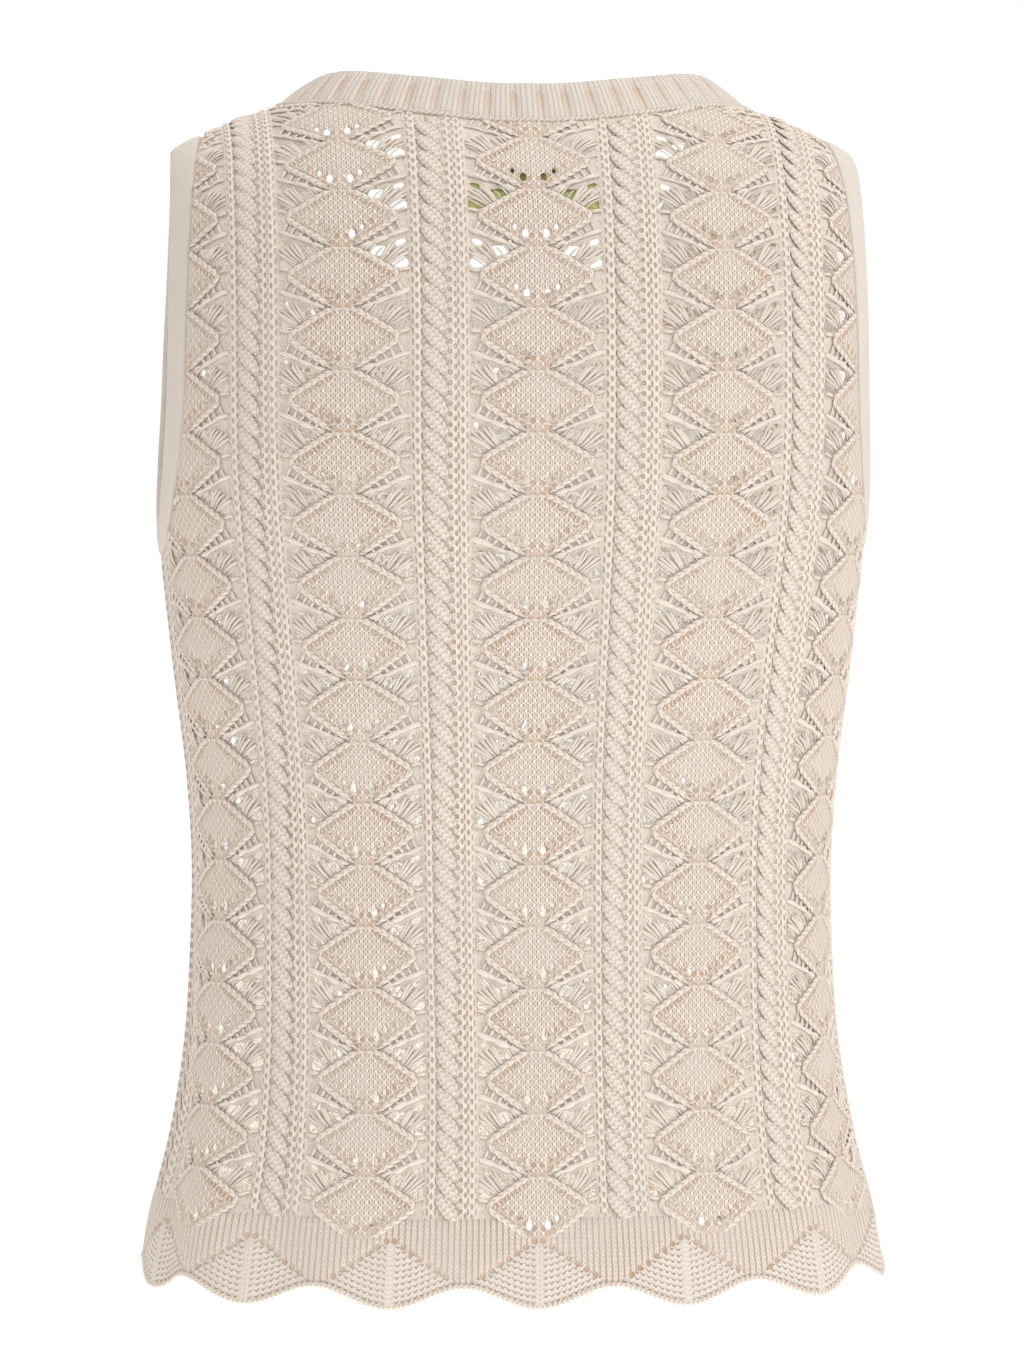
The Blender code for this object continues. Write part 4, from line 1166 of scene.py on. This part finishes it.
def make_armband(name, mirror, material):
    turn = np.linspace(0, 2 * math.pi, 721)[:-1]
    line = evenly(armhole_seam(turn), ARMBAND_POINTS, closed=True)
    normals = ring_normals(line)
    across = band_directions(line, normals, np.array(ARM_CENTRE))
    smooth = normals
    for _ in range(3):
        smooth = (np.roll(smooth, 1, 0) + smooth * 2 + np.roll(smooth, -1, 0)) / 4

    def row_at(share):
        return line + across * (ARMBAND_INSET + share * (ARMBAND_WIDTH - ARMBAND_INSET * 2))

    rings = []
    for share in np.linspace(0, 1, 9):
        swell = math.sin(math.pi * share) ** 0.6
        rings.append(row_at(share) + smooth * (0.0009 * swell + 0.0003 - 0.0008 * share))
    rings.append(line + across * (ARMBAND_WIDTH + ARMBAND_INSET) - smooth * 0.0012)
    for share in np.linspace(1, 0, 5):
        rings.append(row_at(share) - smooth * 0.0024)
    rings = np.array(rings)
    if mirror:
        rings = rings * np.array((-1.0, 1.0, 1.0))
    length = lengths_along(line)[-1] * (ARMBAND_POINTS + 1) / ARMBAND_POINTS
    along = np.arange(ARMBAND_POINTS + 1) / ARMBAND_POINTS * round(length / ARMBAND_UNITS[0])
    return ring_mesh(name, rings, along, round_section(rings, ARMBAND_UNITS[1]), material, turned=True)


LABEL_CELLS, LABEL_THICK, LABEL_THREAD = (24, 12), 0.0008, 0.7


def make_label(cloth, material):
    across, up = LABEL_CELLS
    columns = np.linspace(-0.5, 0.5, across + 1) * LABEL_WIDTH / COLUMN_WIDTH
    rows = LABEL_TOP_ROW - np.linspace(1, 0, up + 1) * LABEL_HEIGHT / ROW
    column, row = np.meshgrid(columns, rows)
    base, normal = cloth.at(column, row), cloth.normal(column, row)
    near = base - normal * (WALL + LABEL_SETBACK)
    far = near - normal * LABEL_THICK
    index = np.arange(column.size).reshape(column.shape)
    quads = np.stack((index[:-1, :-1], index[1:, :-1], index[1:, 1:], index[:-1, 1:]), -1).reshape(-1, 4)
    rim = np.concatenate((index[0, :], index[1:, -1], index[-1, -2::-1], index[-2:0:-1, 0]))
    following = np.roll(rim, -1)
    side = np.stack((rim, following, following + column.size, rim + column.size), 1)
    faces = np.vstack((quads, quads[:, ::-1] + column.size, side))
    flat = np.stack((column.ravel() * WIDE, row.ravel() * TALL), 1) / LABEL_THREAD
    uv = np.vstack((flat, flat))[faces.ravel()]
    vertices = np.vstack((near.reshape(-1, 3), far.reshape(-1, 3)))
    return add_mesh("label_strip", vertices, faces.tolist(), [material], [("stitch", uv)])


cord, strand, band, rope = cord_material(), strand_material(), band_material(), rope_material()
panel_materials = [
    moss_material(), fan_material(), chain_material(), purl_material(),
    groove_material(), jersey_material(), garter_material(),
]
knits = {}
for panel, label in ((BACK, "back"), (FRONT, "front")):
    knit = Knit(panel)
    knits[panel] = knit
    sheet = make_panel(knit, f"knit_{label}", panel_materials)
    extras = [
        make_cords(knit, f"{label}_outlines", cord),
        make_strands(knit, f"{label}_ladders", strand),
        make_ropes(knit, f"{label}_ropes", rope),
        make_hem_roll(knit, f"{label}_hem_edge", cord),
    ]
    for piece in (sheet, *extras):
        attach(piece, "root")
    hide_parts(f"{label}_panel")

neckband, neck_seam = make_neckband(rib_material(), cord)
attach(neck_seam, "root")
left_armband = make_armband("knit_left_armband", False, band)
right_armband = make_armband("knit_right_armband", True, band)
bands = ((neckband, "neckband"), (left_armband, "left_armhole_band"), (right_armband, "right_armhole_band"))
for piece, node in bands:
    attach(piece, "root")
    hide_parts(node)
label = make_label(knits[BACK].cloth, label_material())
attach(label, "root")
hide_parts("neck_label")

# Surroundings: camera, lights and floor.
PIXELS_PER_METRE = 2250.0
IMAGE_WIDTH = 1024
SENSOR_WIDTH = 27.0
DISTANCE = 2.30
TARGET = (0.0, 0.0, -0.2665)
YAW = math.radians(6.0)
CAMERA_HEIGHT = -0.185


def aim(thing, place, target):
    thing.location = place
    direction = np.array(target) - np.array(place)
    tilt = math.atan2(direction[2], math.hypot(direction[0], direction[1]))
    turn = math.atan2(direction[1], direction[0])
    thing.rotation_euler = (math.pi / 2 + tilt, 0, turn - math.pi / 2)


camera_data = bpy.data.cameras.new("camera")
camera_data.sensor_fit = "HORIZONTAL"
camera_data.sensor_width = SENSOR_WIDTH
camera_data.lens = SENSOR_WIDTH * DISTANCE / (IMAGE_WIDTH / PIXELS_PER_METRE)
camera_data.clip_start = 0.05
camera = bpy.data.objects.new("camera", camera_data)
bpy.context.scene.collection.objects.link(camera)
aim(camera, (DISTANCE * math.sin(YAW), DISTANCE * math.cos(YAW), CAMERA_HEIGHT), TARGET)
bpy.context.scene.camera = camera


def area_light(name, place, target, size, power, colour=(1.0, 1.0, 1.0)):
    data = bpy.data.lights.new(name, "AREA")
    data.shape = "RECTANGLE"
    data.size, data.size_y = size
    data.energy = power
    data.color = colour
    light = bpy.data.objects.new(name, data)
    bpy.context.scene.collection.objects.link(light)
    aim(light, place, target)
    return light


area_light("key", (-1.8, 1.3, 1.4), (0, 0, -0.25), (1.0, 1.4), 20.5)
area_light("fill", (1.9, 1.5, 0.9), (0, 0, -0.1), (1.6, 1.8), 2)
area_light("front_fill", (0.4, -2.4, 0.9), (0, 0, -0.25), (2.0, 2.0), 16)
area_light("under_fill", (0.0, 0.1, -1.25), (0, 0.0, -0.5), (1.0, 1.0), 12)
# A weak lamp inside the hollow, for the light that comes in through the lace.
inner_place, inner_target, inner_colour = (0.0, 0.02, -0.30), (0, -0.1, -0.30), (0.66, 0.86, 1.0)
inner_fill = area_light("inner_fill", inner_place, inner_target, (0.14, 0.36), 0.30, inner_colour)
inner_fill.visible_camera = False

world = bpy.data.worlds.new("studio")
bpy.context.scene.world = world
world.use_nodes = True
background = world.node_tree.nodes["Background"]
background.inputs["Color"].default_value = (1.0, 1.0, 1.0, 1.0)
direction = joined(world.node_tree, "ShaderNodeTexCoord", "Generated", {})
sideways, up = (joined(world.node_tree, "ShaderNodeSeparateXYZ", k, {0: direction}) for k in (0, 2))
dimmed = (sideways * 0.75 - up).smooth(0.20, 1.0, 1.06, 0.70)
world.node_tree.links.new(dimmed.socket, background.inputs["Strength"])
bpy.context.scene.view_settings.view_transform = "Standard"

FLOOR_RADIUS, FLOOR_AT = 2.2, (0, 0, -1.35)
bpy.ops.mesh.primitive_circle_add(vertices=96, radius=FLOOR_RADIUS, fill_type="NGON", location=FLOOR_AT)
floor = bpy.context.active_object
floor.name = "floor"
pale = bpy.data.materials.new("pale_floor")
pale.use_nodes = True
pale_inputs = pale.node_tree.nodes["Principled BSDF"].inputs
pale_inputs["Base Color"].default_value = (0.74, 0.74, 0.735, 1.0)
pale_inputs["Roughness"].default_value = 0.9
floor.data.materials.append(pale)
